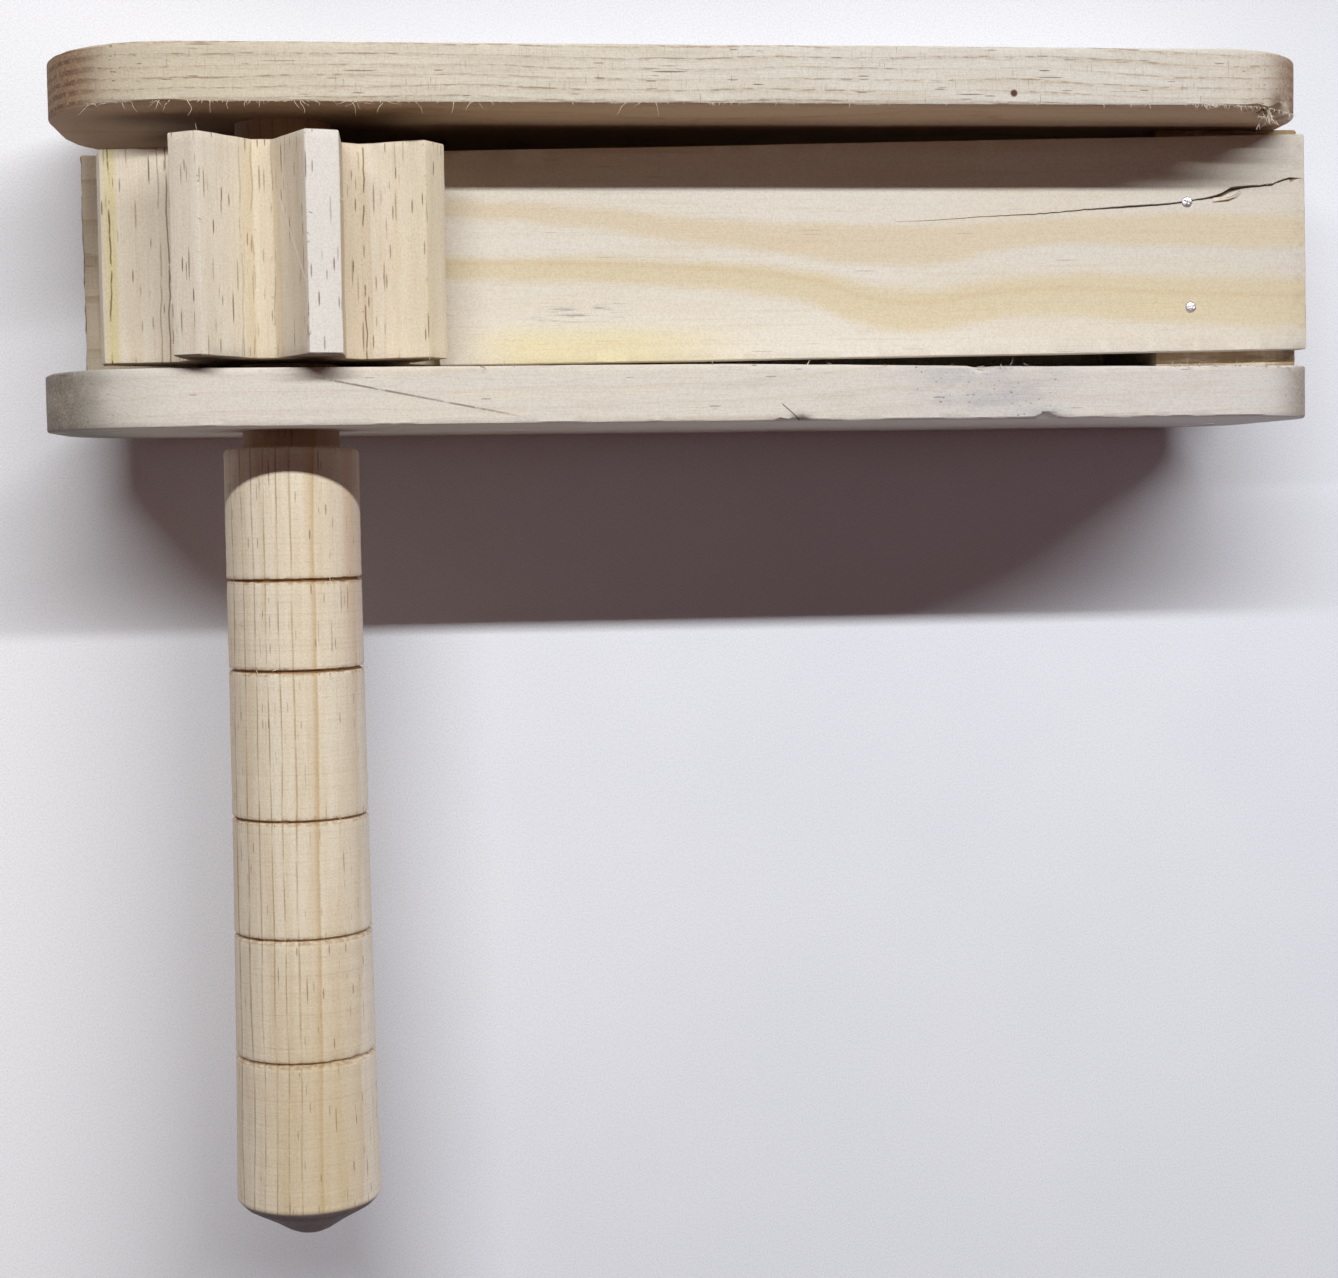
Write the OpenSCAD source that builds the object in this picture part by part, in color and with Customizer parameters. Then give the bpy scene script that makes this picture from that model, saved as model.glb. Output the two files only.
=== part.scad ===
// Wooden ratchet rattle: two side boards carry an axle with a toothed cog, and a thin
// leaf nailed to an end block snaps over the teeth as the boards swing round the handle.
// It lies on the back of its boards. X runs along the boards, the handle points to -Y,
// and the origin is on the resting plane, under the axle and midway between the boards.

/* [Side boards] */
// Thickness of each side board
board_t = 10.5; // [8:0.5:14]
// Gap between the two boards
gap = 46.8; // [45:0.2:56]
// Width of a board, from the resting plane to its front edge
board_w = 66; // [60:1:80]
// From the axle to the rounded cog end of the lower board
lower_cog_end = 45; // [44:1:60]
// From the axle to the rounded cog end of the upper board
upper_cog_end = 43; // [42:1:60]
// From the axle to the far end of the lower board
lower_len = 196.5; // [190:0.5:230]
// From the axle to the far end of the upper board
upper_len = 194; // [190:0.5:230]
// Corner radius at the cog end
cog_end_r = 26; // [10:1:29]
// Corner radius at the block end
block_end_r = 21; // [5:1:29]

/* [Axle and handle] */
// Height of the axle above the resting plane
axle_z = 40; // [40:0.5:42]
// Diameter of the axle
axle_d = 18.2; // [12:0.1:20]
// Radial clearance of the axle in each board
axle_fit = 0.08; // [0.04:0.01:0.1]
// How far the axle stands out of the upper board
axle_proud = 0.8; // [0:0.1:5]
// Length of bare axle between the lower board and the handle
neck = 3.4; // [0.5:0.1:5]
// Handle diameter beside the boards
grip_d = 25.4; // [22:0.2:32]
// Handle diameter at its far end
grip_end_d = 27.6; // [22:0.2:34]
// Length of the grip, without its blunt tip
grip_len = 144; // [125:1:180]
// Length of the blunt tip
tip_len = 8; // [4:0.2:12]
// Width of each saw groove round the handle
groove_w = 0.9; // [0.5:0.1:2]
// Depth of each saw groove
groove_depth = 1.2; // [0.5:0.1:2.5]

/* [Cog] */
// From the axle's middle to the flat top of a tooth
cog_r = 34.4; // [32:0.1:34.5]
// From the axle's middle to the bottom of the gap between two teeth
cog_root_r = 22.8; // [21:0.1:25]
// Width of the flat top of a tooth
tooth_flat = 6; // [4:0.5:7]
// Width of the flat at the bottom of a gap
root_flat = 3.5; // [1:0.5:4]
// Length of the cog along the axle
cog_len = 39; // [36:0.5:40]
// How far the cog sits from the upper board
cog_gap = 6; // [1:0.5:6.5]
// Turn of the front tooth from straight up, towards the leaf
cog_turn = 14.5; // [13:0.5:15]

/* [Leaf and block] */
// Thickness of the leaf
leaf_t = 4; // [2:0.2:4]
// Width of the leaf at its nailed end
leaf_w = 42; // [34:0.1:42.5]
// Width of the leaf at its free end
leaf_free_w = 40.2; // [34:0.1:41]
// From the axle to the free end of the leaf
leaf_start = 28; // [27.6:0.2:30]
// From the axle to the nailed end of the leaf
leaf_end = 198.6; // [190:0.2:205]
// How far the leaf is turned out of line with the boards
leaf_skew = 0.95; // [0:0.05:1.1]
// Thickness of the back slat
slat_t = 5; // [3:0.5:5]
// From the axle to the cog end of the back slat
slat_start = 43.2; // [40:0.2:44]
// Length of the end block
block_len = 29; // [20:0.2:40]
// From the axle to the outer end of the block and of the back slat
block_end = 198.4; // [190:0.2:203]
// Height of the end block above the back slat
block_h = 35; // [34.5:0.5:36]

/* [Nails] */
// Diameter of a nail's shank
nail_d = 1.4; // [1:0.1:1.8]
// Diameter of a nail's head
head_d = 2.2; // [2:0.1:3.5]
// Thickness of a nail's head
head_t = 0.6; // [0.4:0.1:1]
// Length of the nails through the side boards
board_nail = 25; // [20:1:30]
// Length of the nails through the leaf
leaf_nail = 20; // [15:1:30]
// Length of the nails through the back slat
slat_nail = 18; // [14:1:30]
// Length of the nail that holds the cog on the axle
cog_nail_len = 18; // [16:1:20]

/* [Hidden] */

// Distances of the saw grooves below the handle's shoulder
groove_places = [24.7, 41.7, 69.9, 92.3, 115.8];

// The blunt tip: a share of the grip's radius at a share of the tip's length
tip_shape = [[1, 0], [0.9, 0.2], [0.66, 0.43], [0.34, 0.8], [0.11, 0.96], [0, 1]];
grip_step = 10;        // spacing of the rings that shape the grip's swell

// The cog is cut by hand: how far each tooth is off its even place, in degrees
tooth_errors = [0, -4.5, 0.8, -1.2, 1.5, -0.6, -1.3, 3.4];

$fn = 96;
inner_y = gap / 2;
outer_y = inner_y + board_t;
axle_r = axle_d / 2;
shoulder_y = -outer_y - neck;
cog_top = inner_y - cog_gap;
teeth = len(tooth_errors);
pitch = 360 / teeth;
block_start = block_end - block_len;
leaf_z = slat_t + block_h;
tight = 0.02;          // room round a driven nail and under a fitted cog
loose = 0.05;          // room round a nail where the leaf can move on it
chamfer = 0.6;         // broken edge of the handle's shoulder and the axle's end
cog_nail_turn = cog_turn + gap_turn(4);     // a gap that faces the resting plane
nail_point = 2;        // length of a nail's pointed end

// Nail places: along the boards and above the resting plane
block_nail_x = block_start + block_len / 2;
block_nail_front_z = slat_t + block_h - 10;
block_nail_rear_z = slat_t + 10;
slat_nail_left_x = -12;
slat_nail_right_x = 95;
leaf_nail_upper = [block_start + 5.1, 8.7];
leaf_nail_lower = [block_start + 5.9, -11.7];
leaf_mid_y = 0.95;
rear_nail_x = block_end - 9;
rear_nail_y = 12;

pine = [0.88, 0.83, 0.74];
pine_yellow = [0.87, 0.80, 0.63];
pine_grey = [0.80, 0.77, 0.72];
steel = [0.72, 0.72, 0.73];

// A rectangle from x0 to x1 and 0 to h, with its left and right corners rounded
module rounded_side(x0, x1, h, r_left, r_right) {
    difference() {
        translate([x0, 0]) square([x1 - x0, h]);
        for (top = [0, 1]) {
            corner_cut([x0, top * h], r_left, 1, top == 0 ? 1 : -1);
            corner_cut([x1, top * h], r_right, -1, top == 0 ? 1 : -1);
        }
    }
}

// The waste outside one rounded corner; sx and sy point into the rectangle
module corner_cut(corner, r, sx, sy) {
    translate(corner) scale_to(sx, sy) difference() {
        translate([-1, -1]) square(r + 1);
        translate([r, r]) circle(r, $fn = 128);
    }
}

module scale_to(sx, sy) {
    mirror([sx < 0 ? 1 : 0, 0]) mirror([0, sy < 0 ? 1 : 0]) children();
}

// Places a flat XZ outline as a plate from y0 to y1
module plate(y0, y1) {
    translate([0, y1, 0]) rotate([90, 0, 0]) linear_extrude(y1 - y0) children();
}

// A cylinder along Y
module rod(x, z, y0, y1, r) {
    translate([x, y0, z]) rotate([-90, 0, 0]) cylinder(h = y1 - y0, r = r);
}

// A nail standing at the origin: its head's top is at 0 and it points to -Z
module nail(length, room = 0) {
    cylinder_down(0, head_t, head_d / 2 + room);
    cylinder_down(0, length - nail_point, nail_d / 2 + room);
    translate([0, 0, -length - room])
        cylinder(h = nail_point + room, r1 = 0.2, r2 = nail_d / 2 + room);
}

module cylinder_down(z, h, r) {
    translate([0, 0, z - h]) cylinder(h = h, r = r);
}

// Each side board: s is 1 for the upper and -1 for the lower
module at_block_nail(s, z) {
    translate([block_nail_x, s * outer_y, z]) rotate([s > 0 ? -90 : 90, 0, 0]) children();
}
module at_slat_nail(s, x) {
    translate([x, s * outer_y, slat_t / 2]) rotate([s > 0 ? -90 : 90, 0, 0]) children();
}
module at_leaf_nail(place) {
    translate([place[0], place[1], leaf_z + leaf_t]) children();
}
module at_rear_nail(y) {
    translate([rear_nail_x, y, 0]) rotate([180, 0, 0]) children();
}
module at_cog_nail() {
    translate([0, cog_top - cog_len / 2, axle_z]) rotate([0, cog_nail_turn, 0])
        translate([0, 0, cog_root_r]) children();
}

// Every driven nail through one side board, or the holes for them
module board_nails(s, room) {
    for (z = [block_nail_front_z, block_nail_rear_z]) at_block_nail(s, z) nail(board_nail, room);
    for (x = [slat_nail_left_x, slat_nail_right_x]) at_slat_nail(s, x) nail(board_nail, room);
}

module side_board(s, cog_end, length) {
    difference() {
        plate(s > 0 ? inner_y : -outer_y, s > 0 ? outer_y : -inner_y)
            rounded_side(-cog_end, length, board_w, cog_end_r, block_end_r);
        rod(0, axle_z, -outer_y - 1, outer_y + 1, axle_r + axle_fit);
        board_nails(s, tight);
    }
}

module upper_board() { color(pine) side_board(1, upper_cog_end, upper_len); }
module lower_board() { color(pine) side_board(-1, lower_cog_end, lower_len); }

module back_slat() {
    color(pine_grey) difference() {
        translate([-slat_start, -inner_y, 0]) cube([slat_start + block_end, gap, slat_t]);
        for (s = [-1, 1]) board_nails(s, tight);
        for (s = [-1, 1]) at_rear_nail(s * rear_nail_y) nail(slat_nail, tight);
    }
}

module end_block() {
    color(pine_grey) difference() {
        translate([block_start, -inner_y, slat_t]) cube([block_len, gap, block_h]);
        for (s = [-1, 1]) board_nails(s, tight);
        for (s = [-1, 1]) at_rear_nail(s * rear_nail_y) nail(slat_nail, tight);
        for (place = [leaf_nail_upper, leaf_nail_lower]) at_leaf_nail(place) nail(leaf_nail, tight);
    }
}

// The leaf lies on the block, turned a little about the middle of its nailed end
module leaf() {
    length = leaf_end - leaf_start;
    outline = [[-length, -leaf_free_w / 2], [0, -leaf_w / 2], [0, leaf_w / 2], [-length, leaf_free_w / 2]];
    color(pine_yellow) difference() {
        translate([leaf_end, leaf_mid_y, leaf_z]) rotate([0, 0, leaf_skew])
            linear_extrude(leaf_t) polygon(outline);
        for (place = [leaf_nail_upper, leaf_nail_lower]) at_leaf_nail(place) nail(leaf_nail, loose);
    }
}

// Each tooth's turn from the front one, and that of the gap after it
function tooth_turn(k) = k * pitch + tooth_errors[k % teeth];
function gap_turn(k) = (tooth_turn(k) + tooth_turn(k + 1)) / 2;

// A point at r along a direction, and across it
function polar(turn, r, across) =
    [r * sin(turn) + across * cos(turn), r * cos(turn) - across * sin(turn)];
// The cog's outline: the flat of each tooth, then the flat of the gap after it
function cog_outline() = [for (k = [0 : teeth - 1]) each [
    polar(tooth_turn(k), cog_r, -tooth_flat / 2),
    polar(tooth_turn(k), cog_r, tooth_flat / 2),
    polar(gap_turn(k), cog_root_r, -root_flat / 2),
    polar(gap_turn(k), cog_root_r, root_flat / 2)]];

module cog() {
    color(pine_yellow) difference() {
        translate([0, cog_top, axle_z]) rotate([0, cog_turn, 0]) rotate([90, 0, 0])
            linear_extrude(cog_len) polygon(cog_outline());
        rod(0, axle_z, cog_top - cog_len - 1, cog_top + 1, axle_r + tight);
        at_cog_nail() nail(cog_nail_len, tight);
    }
}

// The grip swells towards its far end
function grip_r(d) = (grip_d + (grip_end_d - grip_d) * pow(d / grip_len, 2.2)) / 2;
function grip_outline() = concat(
    [[0, 0], [grip_d / 2 - chamfer, 0], [grip_d / 2, chamfer]],
    [for (d = [grip_step : grip_step : grip_len - grip_step]) [grip_r(d), d]],
    [for (p = tip_shape) [grip_r(grip_len) * p[0], grip_len + tip_len * p[1]]]);

module handle() {
    axle_end = outer_y + axle_proud;
    color(pine_yellow) difference() {
        union() {
            translate([0, shoulder_y, axle_z]) rotate([90, 0, 0]) rotate_extrude() polygon(grip_outline());
            rod(0, axle_z, shoulder_y - 1, axle_end - chamfer, axle_r);
            translate([0, axle_end - chamfer, axle_z]) rotate([-90, 0, 0])
                cylinder(h = chamfer, r1 = axle_r, r2 = axle_r - chamfer);
        }
        for (d = groove_places) translate([0, shoulder_y - d, axle_z]) rotate([90, 0, 0])
            difference() {
                cylinder(h = groove_w, r = grip_end_d, center = true);
                cylinder(h = groove_w + 1, r = grip_r(d) - groove_depth, center = true);
            }
        at_cog_nail() nail(cog_nail_len, tight);
    }
}

module cog_nail() { color(steel) at_cog_nail() nail(cog_nail_len); }
module top_nail(place) { color(steel) at_leaf_nail(place) nail(leaf_nail); }
module block_nail(s, z) { color(steel) at_block_nail(s, z) nail(board_nail); }
module slat_edge_nail(s, x) { color(steel) at_slat_nail(s, x) nail(board_nail); }
module rear_nail(y) { color(steel) at_rear_nail(y) nail(slat_nail); }

upper_board();
lower_board();
back_slat();
end_block();
leaf();
cog();
handle();
cog_nail();
top_nail(leaf_nail_upper);
top_nail(leaf_nail_lower);
block_nail(1, block_nail_front_z);  // upper_block_nail_front
block_nail(1, block_nail_rear_z);  // upper_block_nail_rear
slat_edge_nail(1, slat_nail_left_x);  // upper_slat_nail_left
slat_edge_nail(1, slat_nail_right_x);  // upper_slat_nail_right
block_nail(-1, block_nail_front_z);  // lower_block_nail_front
block_nail(-1, block_nail_rear_z);  // lower_block_nail_rear
slat_edge_nail(-1, slat_nail_left_x);  // lower_slat_nail_left
slat_edge_nail(-1, slat_nail_right_x);  // lower_slat_nail_right
rear_nail(rear_nail_y);  // rear_nail_upper
rear_nail(-rear_nail_y);  // rear_nail_lower
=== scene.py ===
"""The ratchet rattle's looks: hand-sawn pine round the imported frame, a pale floor and a strip light."""
import math
import random

import bmesh
import bpy
from mathutils import Matrix, Vector, geometry, noise


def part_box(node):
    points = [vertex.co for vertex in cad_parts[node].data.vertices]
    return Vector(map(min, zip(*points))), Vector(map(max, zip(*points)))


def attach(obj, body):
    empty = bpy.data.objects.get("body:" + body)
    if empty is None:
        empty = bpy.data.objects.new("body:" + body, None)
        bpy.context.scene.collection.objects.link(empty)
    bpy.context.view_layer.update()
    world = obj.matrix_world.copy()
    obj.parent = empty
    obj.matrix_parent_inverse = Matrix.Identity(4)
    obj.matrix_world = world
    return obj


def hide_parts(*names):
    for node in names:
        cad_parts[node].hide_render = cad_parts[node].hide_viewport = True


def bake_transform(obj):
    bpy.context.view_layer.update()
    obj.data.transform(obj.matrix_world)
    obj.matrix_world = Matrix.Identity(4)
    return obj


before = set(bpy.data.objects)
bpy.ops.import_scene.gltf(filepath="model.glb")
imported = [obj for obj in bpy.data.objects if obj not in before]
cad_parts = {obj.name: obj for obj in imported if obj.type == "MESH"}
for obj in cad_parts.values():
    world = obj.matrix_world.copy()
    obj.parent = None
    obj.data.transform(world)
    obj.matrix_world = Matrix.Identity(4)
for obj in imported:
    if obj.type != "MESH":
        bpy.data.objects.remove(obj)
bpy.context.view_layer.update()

MM = 0.001

# ---------------------------------------------------------------- sizes, in metres
UPPER_LOW, UPPER_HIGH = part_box("upper_board")
LOWER_LOW, LOWER_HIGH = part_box("lower_board")
SLAT_LOW, SLAT_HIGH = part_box("back_slat")
BLOCK_LOW, BLOCK_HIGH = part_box("end_block")
LEAF_LOW, LEAF_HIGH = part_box("leaf")
COG_LOW, COG_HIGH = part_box("cog")
HANDLE_LOW, HANDLE_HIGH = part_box("handle")

AXLE = Vector((0, 0, 40 * MM))          # a point on the axle's middle line, which runs along Y
AXLE_R = 9.1 * MM
BORE_R = 9.18 * MM
COG_END_R = 26 * MM                     # corner radius of a board's cog end
BLOCK_END_R = 21 * MM                   # corner radius of a board's block end
EDGE = 0.4 * MM                         # how far a sawn edge is broken
WORN_CORNER = 0.35 * MM                 # radius of the leaf's corners and of a tooth's
CELL = 1.4 * MM                         # length of a mesh cell along an edge
SHOULDER_Y = LOWER_LOW.y - 3.4 * MM     # where the grip begins, below the bare neck
GRIP_R = 12.7 * MM
GRIP_END_R = 13.8 * MM
GRIP_LEN = 144 * MM
TIP_LEN = 8 * MM
GROOVES = [24.7 * MM, 41.7 * MM, 69.9 * MM, 92.3 * MM, 115.8 * MM]   # below the shoulder
GROOVE_W = 0.9 * MM
COG_R = 34.4 * MM
COG_ROOT_R = 22.8 * MM
TOOTH_FLAT = 6 * MM
ROOT_FLAT = 3.5 * MM
ROOT_CORNER = 0.4 * MM                  # radius at the bottom of a gap
COG_TURN = 14.5
TOOTH_ERRORS = [0, -4.5, 0.8, -1.2, 1.5, -0.6, -1.3, 3.4]            # degrees
LEAF_SKEW = math.radians(0.95)
LEAF_MID_Y = 0.95 * MM
LEAF_W = 42 * MM
LEAF_FREE_W = 40.2 * MM
LEAF_LEN = 170.6 * MM
LEAF_END = 198.6 * MM
HEAD_R = 1.1 * MM
HEAD_T = 0.6 * MM
SHANK_R = 0.7 * MM


# ---------------------------------------------------------------- mesh tools
def wander(point, size, seed=0.0):
    """Smooth noise from -1 to 1 that changes over that size, in metres."""
    return noise.noise(Vector(point) / size + Vector((seed, seed * 1.7, -seed)))


def rounded_outline(corners, step):
    """Closely spaced points round a shape whose corners are (u, v, radius), anticlockwise."""
    count = len(corners)
    arcs = []
    for i, (u, v, radius) in enumerate(corners):
        here = Vector((u, v))
        back = (Vector(corners[i - 1][:2]) - here).normalized()
        on = (Vector(corners[(i + 1) % count][:2]) - here).normalized()
        half = back.angle(on) / 2
        centre = here + (back + on).normalized() * radius / math.sin(half)
        start = here + back * radius / math.tan(half) - centre
        end = here + on * radius / math.tan(half) - centre
        first = math.atan2(start.y, start.x)
        sweep = (math.atan2(end.y, end.x) - first + math.pi) % (2 * math.pi) - math.pi
        steps = max(2, math.ceil(abs(sweep) * radius / step))
        angles = [first + sweep * k / steps for k in range(steps + 1)]
        arcs.append([centre + Vector((math.cos(a), math.sin(a))) * radius for a in angles])
    points = []
    for i, arc in enumerate(arcs):
        points.extend(arc)
        after = arcs[(i + 1) % count][0]
        steps = max(1, math.ceil((after - arc[-1]).length / step))
        points.extend(arc[-1].lerp(after, k / steps) for k in range(1, steps))
    return points


def outward(points):
    """The outward direction at each point of an anticlockwise loop."""
    count = len(points)
    along = [(points[(i + 1) % count] - points[i - 1]).normalized() for i in range(count)]
    return [Vector((d.y, -d.x)) for d in along]


def inside(point, loop):
    """Whether a flat point lies inside a closed loop."""
    odd = False
    for a, b in zip(loop, loop[1:] + loop[:1]):
        if (a.y > point.y) != (b.y > point.y):
            if point.x < (b.x - a.x) * (point.y - a.y) / (b.y - a.y) + a.x:
                odd = not odd
    return odd


def circle(centre, radius, count):
    turns = [2 * math.pi * k / count for k in range(count)]
    return [Vector((centre[0] + radius * math.cos(t), centre[1] + radius * math.sin(t))) for t in turns]


def fill_points(loop, holes, cell, rng):
    """Slightly uneven points that fill a loop, clear of its edge and of its round holes."""
    uneven = 0.15
    clear = 0.5
    low = Vector((min(p.x for p in loop), min(p.y for p in loop)))
    high = Vector((max(p.x for p in loop), max(p.y for p in loop)))
    found = []
    rows = int((high.y - low.y) / cell)
    columns = int((high.x - low.x) / cell)
    for row in range(1, rows):
        for column in range(1, columns):
            shift = (row % 2) / 2
            spot = low + Vector((column + shift, row)) * cell
            spot += Vector((rng.uniform(-uneven, uneven), rng.uniform(-uneven, uneven))) * cell
            near_hole = any((spot - Vector(c)).length < r + clear * cell for c, r in holes)
            if near_hole or not inside(spot, loop):
                continue
            if min((spot - p).length for p in loop) > 0.9 * clear * cell:
                found.append(spot)
    return found


class Slab:
    """A sawn piece: a flat outline with a thickness, as one closed mesh with broken edges."""

    def __init__(self, outline, low, high, holes=(), cell=4 * MM, edge=EDGE, seed=1):
        self.outline, self.low, self.high, self.holes = outline, low, high, list(holes)
        self.cell, self.edge, self.seed = cell, edge, seed
        self.verts, self.faces = [], []
        self.marks = []                  # extra top lines: lists of flat points

    def ring(self, inset, level, wear):
        """One row of points round the rim, drawn in by inset times the edge's wear there."""
        start = len(self.verts)
        for point, out in zip(self.outline, outward(self.outline)):
            worn = inset * wear(point, level) if inset else 0.0
            spot = point - out * worn
            self.verts.append((spot.x, spot.y, level))
        return list(range(start, len(self.verts)))

    def bridge(self, lower, upper, flip=False):
        """Faces between two rows of points."""
        count = len(lower)
        for i in range(count):
            j = (i + 1) % count
            quad = (lower[i], lower[j], upper[j], upper[i])
            self.faces.append(quad[::-1] if flip else quad)

    def cap(self, ring, hole_rings, level, up, lines):
        """Closes one side of the slab inside a rim row and round its holes."""
        loop = [Vector(self.verts[i][:2]) for i in ring]
        rng = random.Random(self.seed)
        points = list(loop)
        names = list(ring)
        edges = []
        for hole in hole_rings:
            first = len(points)
            points.extend(Vector(self.verts[i][:2]) for i in hole)
            names.extend(hole)
            edges.extend((first + k, first + (k + 1) % len(hole)) for k in range(len(hole)))
        for line in lines:
            first = len(points)
            points.extend(line)
            edges.extend((first + k, first + k + 1) for k in range(len(line) - 1))
        points.extend(fill_points(loop, self.holes, self.cell, rng))
        made = geometry.delaunay_2d_cdt(points, edges, [list(range(len(ring)))], 1, 1e-7)
        spots, triangles, sources = made[0], made[2], made[3]
        index = []
        for spot, source in zip(spots, sources):
            known = [s for s in source if s < len(names)]
            if known:
                index.append(names[known[0]])
            else:
                index.append(len(self.verts))
                self.verts.append((spot.x, spot.y, level))
        for face in triangles:
            middle = sum((spots[i] for i in face), Vector((0, 0))) / len(face)
            if any((middle - Vector(c)).length < r * 0.999 for c, r in self.holes):
                continue
            corners = [index[i] for i in face]
            self.faces.append(corners if up else corners[::-1])

    def build(self, name, place, shape, rows=4, wear=lambda point, level: 1.0):
        """place turns (u, v, w) into a point in the frame; shape moves that point, given its normal."""
        e = self.edge
        levels = [(self.low, 1.0), (self.low + 0.35 * e, 0.35), (self.low + e, 0.0)]
        inner_low, inner_high = self.low + e, self.high - e
        levels += [(inner_low + (inner_high - inner_low) * k / rows, 0.0) for k in range(1, rows)]
        levels += [(self.high - e, 0.0), (self.high - 0.35 * e, 0.35), (self.high, 1.0)]
        rings = [self.ring(inset * e, level, wear) for level, inset in levels]
        for lower, upper in zip(rings, rings[1:]):
            self.bridge(lower, upper)
        low_holes, high_holes = [], []
        for centre, radius in self.holes:
            walls = []
            for level in (self.low, self.high):
                start = len(self.verts)
                self.verts.extend((p.x, p.y, level) for p in circle(centre, radius, 64))
                walls.append(list(range(start, len(self.verts))))
            self.bridge(walls[0], walls[1], flip=True)
            low_holes.append(walls[0])
            high_holes.append(walls[1])
        self.cap(rings[0], low_holes, self.low, False, [])
        self.cap(rings[-1], high_holes, self.high, True, self.marks)
        return finish_mesh(name, [place(*v) for v in self.verts], self.faces, shape)


def finish_mesh(name, points, faces, shape=None, sharp=32):
    """An object of these points and faces, its normals put right, moved by shape and shaded."""
    mesh = bpy.data.meshes.new(name)
    mesh.from_pydata([tuple(p) for p in points], [], faces)
    work = bmesh.new()
    work.from_mesh(mesh)
    bmesh.ops.remove_doubles(work, verts=work.verts, dist=0.01 * MM)
    bmesh.ops.recalc_face_normals(work, faces=work.faces)
    work.normal_update()
    if shape:
        moved = [shape(v.co.copy(), v.normal.copy()) for v in work.verts]
        for vert, spot in zip(work.verts, moved):
            vert.co = spot
    work.to_mesh(mesh)
    work.free()
    mesh.shade_smooth()
    mesh.set_sharp_from_angle(angle=math.radians(sharp))
    made = bpy.data.objects.new(name, mesh)
    bpy.context.scene.collection.objects.link(made)
    return made


def from_xz(u, v, w):
    """A slab whose outline stands in XZ and whose thickness runs along Y."""
    return Vector((u, w, v))


def from_xy(u, v, w):
    """A slab that lies flat."""
    return Vector((u, v, w))


def turned_rows(rows, sides, spot):
    """Points round each (place, radius) row of a turned piece; spot gives the point at an angle."""
    verts, rings = [], []
    for place, radius in rows:
        start = len(verts)
        turns = [2 * math.pi * k / sides for k in range(sides)] if radius else [0.0]
        verts.extend(spot(place, radius, turn) for turn in turns)
        rings.append(list(range(start, len(verts))))
    return verts, rings


def stitched(rings):
    """Faces between rows of points, where a row of one point is an end."""
    sides = max(len(ring) for ring in rings)
    faces = []
    for a, b in zip(rings, rings[1:]):
        for k in range(sides):
            j = (k + 1) % sides
            if len(a) == 1:
                faces.append((a[0], b[k], b[j]))
            elif len(b) == 1:
                faces.append((a[j], a[k], b[0]))
            else:
                faces.append((a[k], b[k], b[j], a[j]))
    return faces


TUBE_TAPER = 0.75                       # how much thinner a fibre is at its end


def tube(points, radius, verts, faces, sides=5):
    """Adds a thin tapering tube along points to the lists."""
    start = len(verts)
    count = len(points)
    for i, point in enumerate(points):
        ahead = points[min(i + 1, count - 1)] - points[max(i - 1, 0)]
        side = ahead.orthogonal().normalized()
        other = ahead.cross(side).normalized()
        here = radius * (1.0 - TUBE_TAPER * i / (count - 1))
        for k in range(sides):
            t = 2 * math.pi * k / sides
            verts.append(point + (side * math.cos(t) + other * math.sin(t)) * here)
    for i in range(count - 1):
        for k in range(sides):
            a, b = start + i * sides + k, start + i * sides + (k + 1) % sides
            faces.append((a, b, b + sides, a + sides))
    faces.append(tuple(start + k for k in reversed(range(sides))))
    faces.append(tuple(start + (count - 1) * sides + k for k in range(sides)))


# ---------------------------------------------------------------- the wooden pieces
def sawn(amount, size, seed):
    """A shape for a slab: the surface wanders in and out by amount."""
    def shape(point, normal):
        swell = wander(point, size, seed) + 0.35 * wander(point, size / 5, seed + 3)
        return point + normal * amount * swell
    return shape


NICK_REACH = 4 * MM                     # a nick wears only the edge on its own side of the board
NICK_FROM = 50 * MM                     # and only from this height, at the board's front
LEAST_WEAR = 0.25


def rough_edge(seed, nicks=()):
    """A slab's edge wear: uneven, and deeper at each nick (place along u, which level, width, times)."""
    def wear(point, level):
        spot = Vector((point.x, point.y, level))
        value = 1.0 + 0.75 * noise.noise(spot / (2.5 * MM) + Vector((seed, 0, 0)))
        value += 0.5 * noise.noise(spot / (9 * MM) + Vector((0, seed, 0)))
        for u, side, width, times in nicks:
            if abs(level - side) < NICK_REACH and point.y > NICK_FROM:
                value += times * max(0.0, 1 - abs(point.x - u) / width)
        return max(LEAST_WEAR, value)
    return wear


def clamp(share):
    return min(1.0, max(0.0, share))


PLANED = 1.0 * MM                       # how much thinner the lower board's front edge is by the block end
PLANED_FROM = 80 * MM                   # where along the board the thinning starts
PLANED_OVER = 60 * MM                   # and the length over which it comes in
PLANED_LOW = 46 * MM                    # the height at which it starts
PLANED_RISE = 16 * MM


def planed_share(x):
    """How much of the thinning there is at a place along the board."""
    return clamp((x - PLANED_FROM) / PLANED_OVER)


def chipped(shape, chips):
    """A shape that also knocks chips (x, y, z, size, 1 or -1 for the inward Y) out of a board's edges."""
    def chip(point, normal):
        moved = shape(point, normal)
        for x, y, z, size, inward in chips:
            near = size - (Vector(((point.x - x) * 0.6, point.y - y, point.z - z))).length
            if near > 0:
                moved += Vector((0, inward * 0.9, -0.7)) * near * 0.75
        return moved
    return chip


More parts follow.
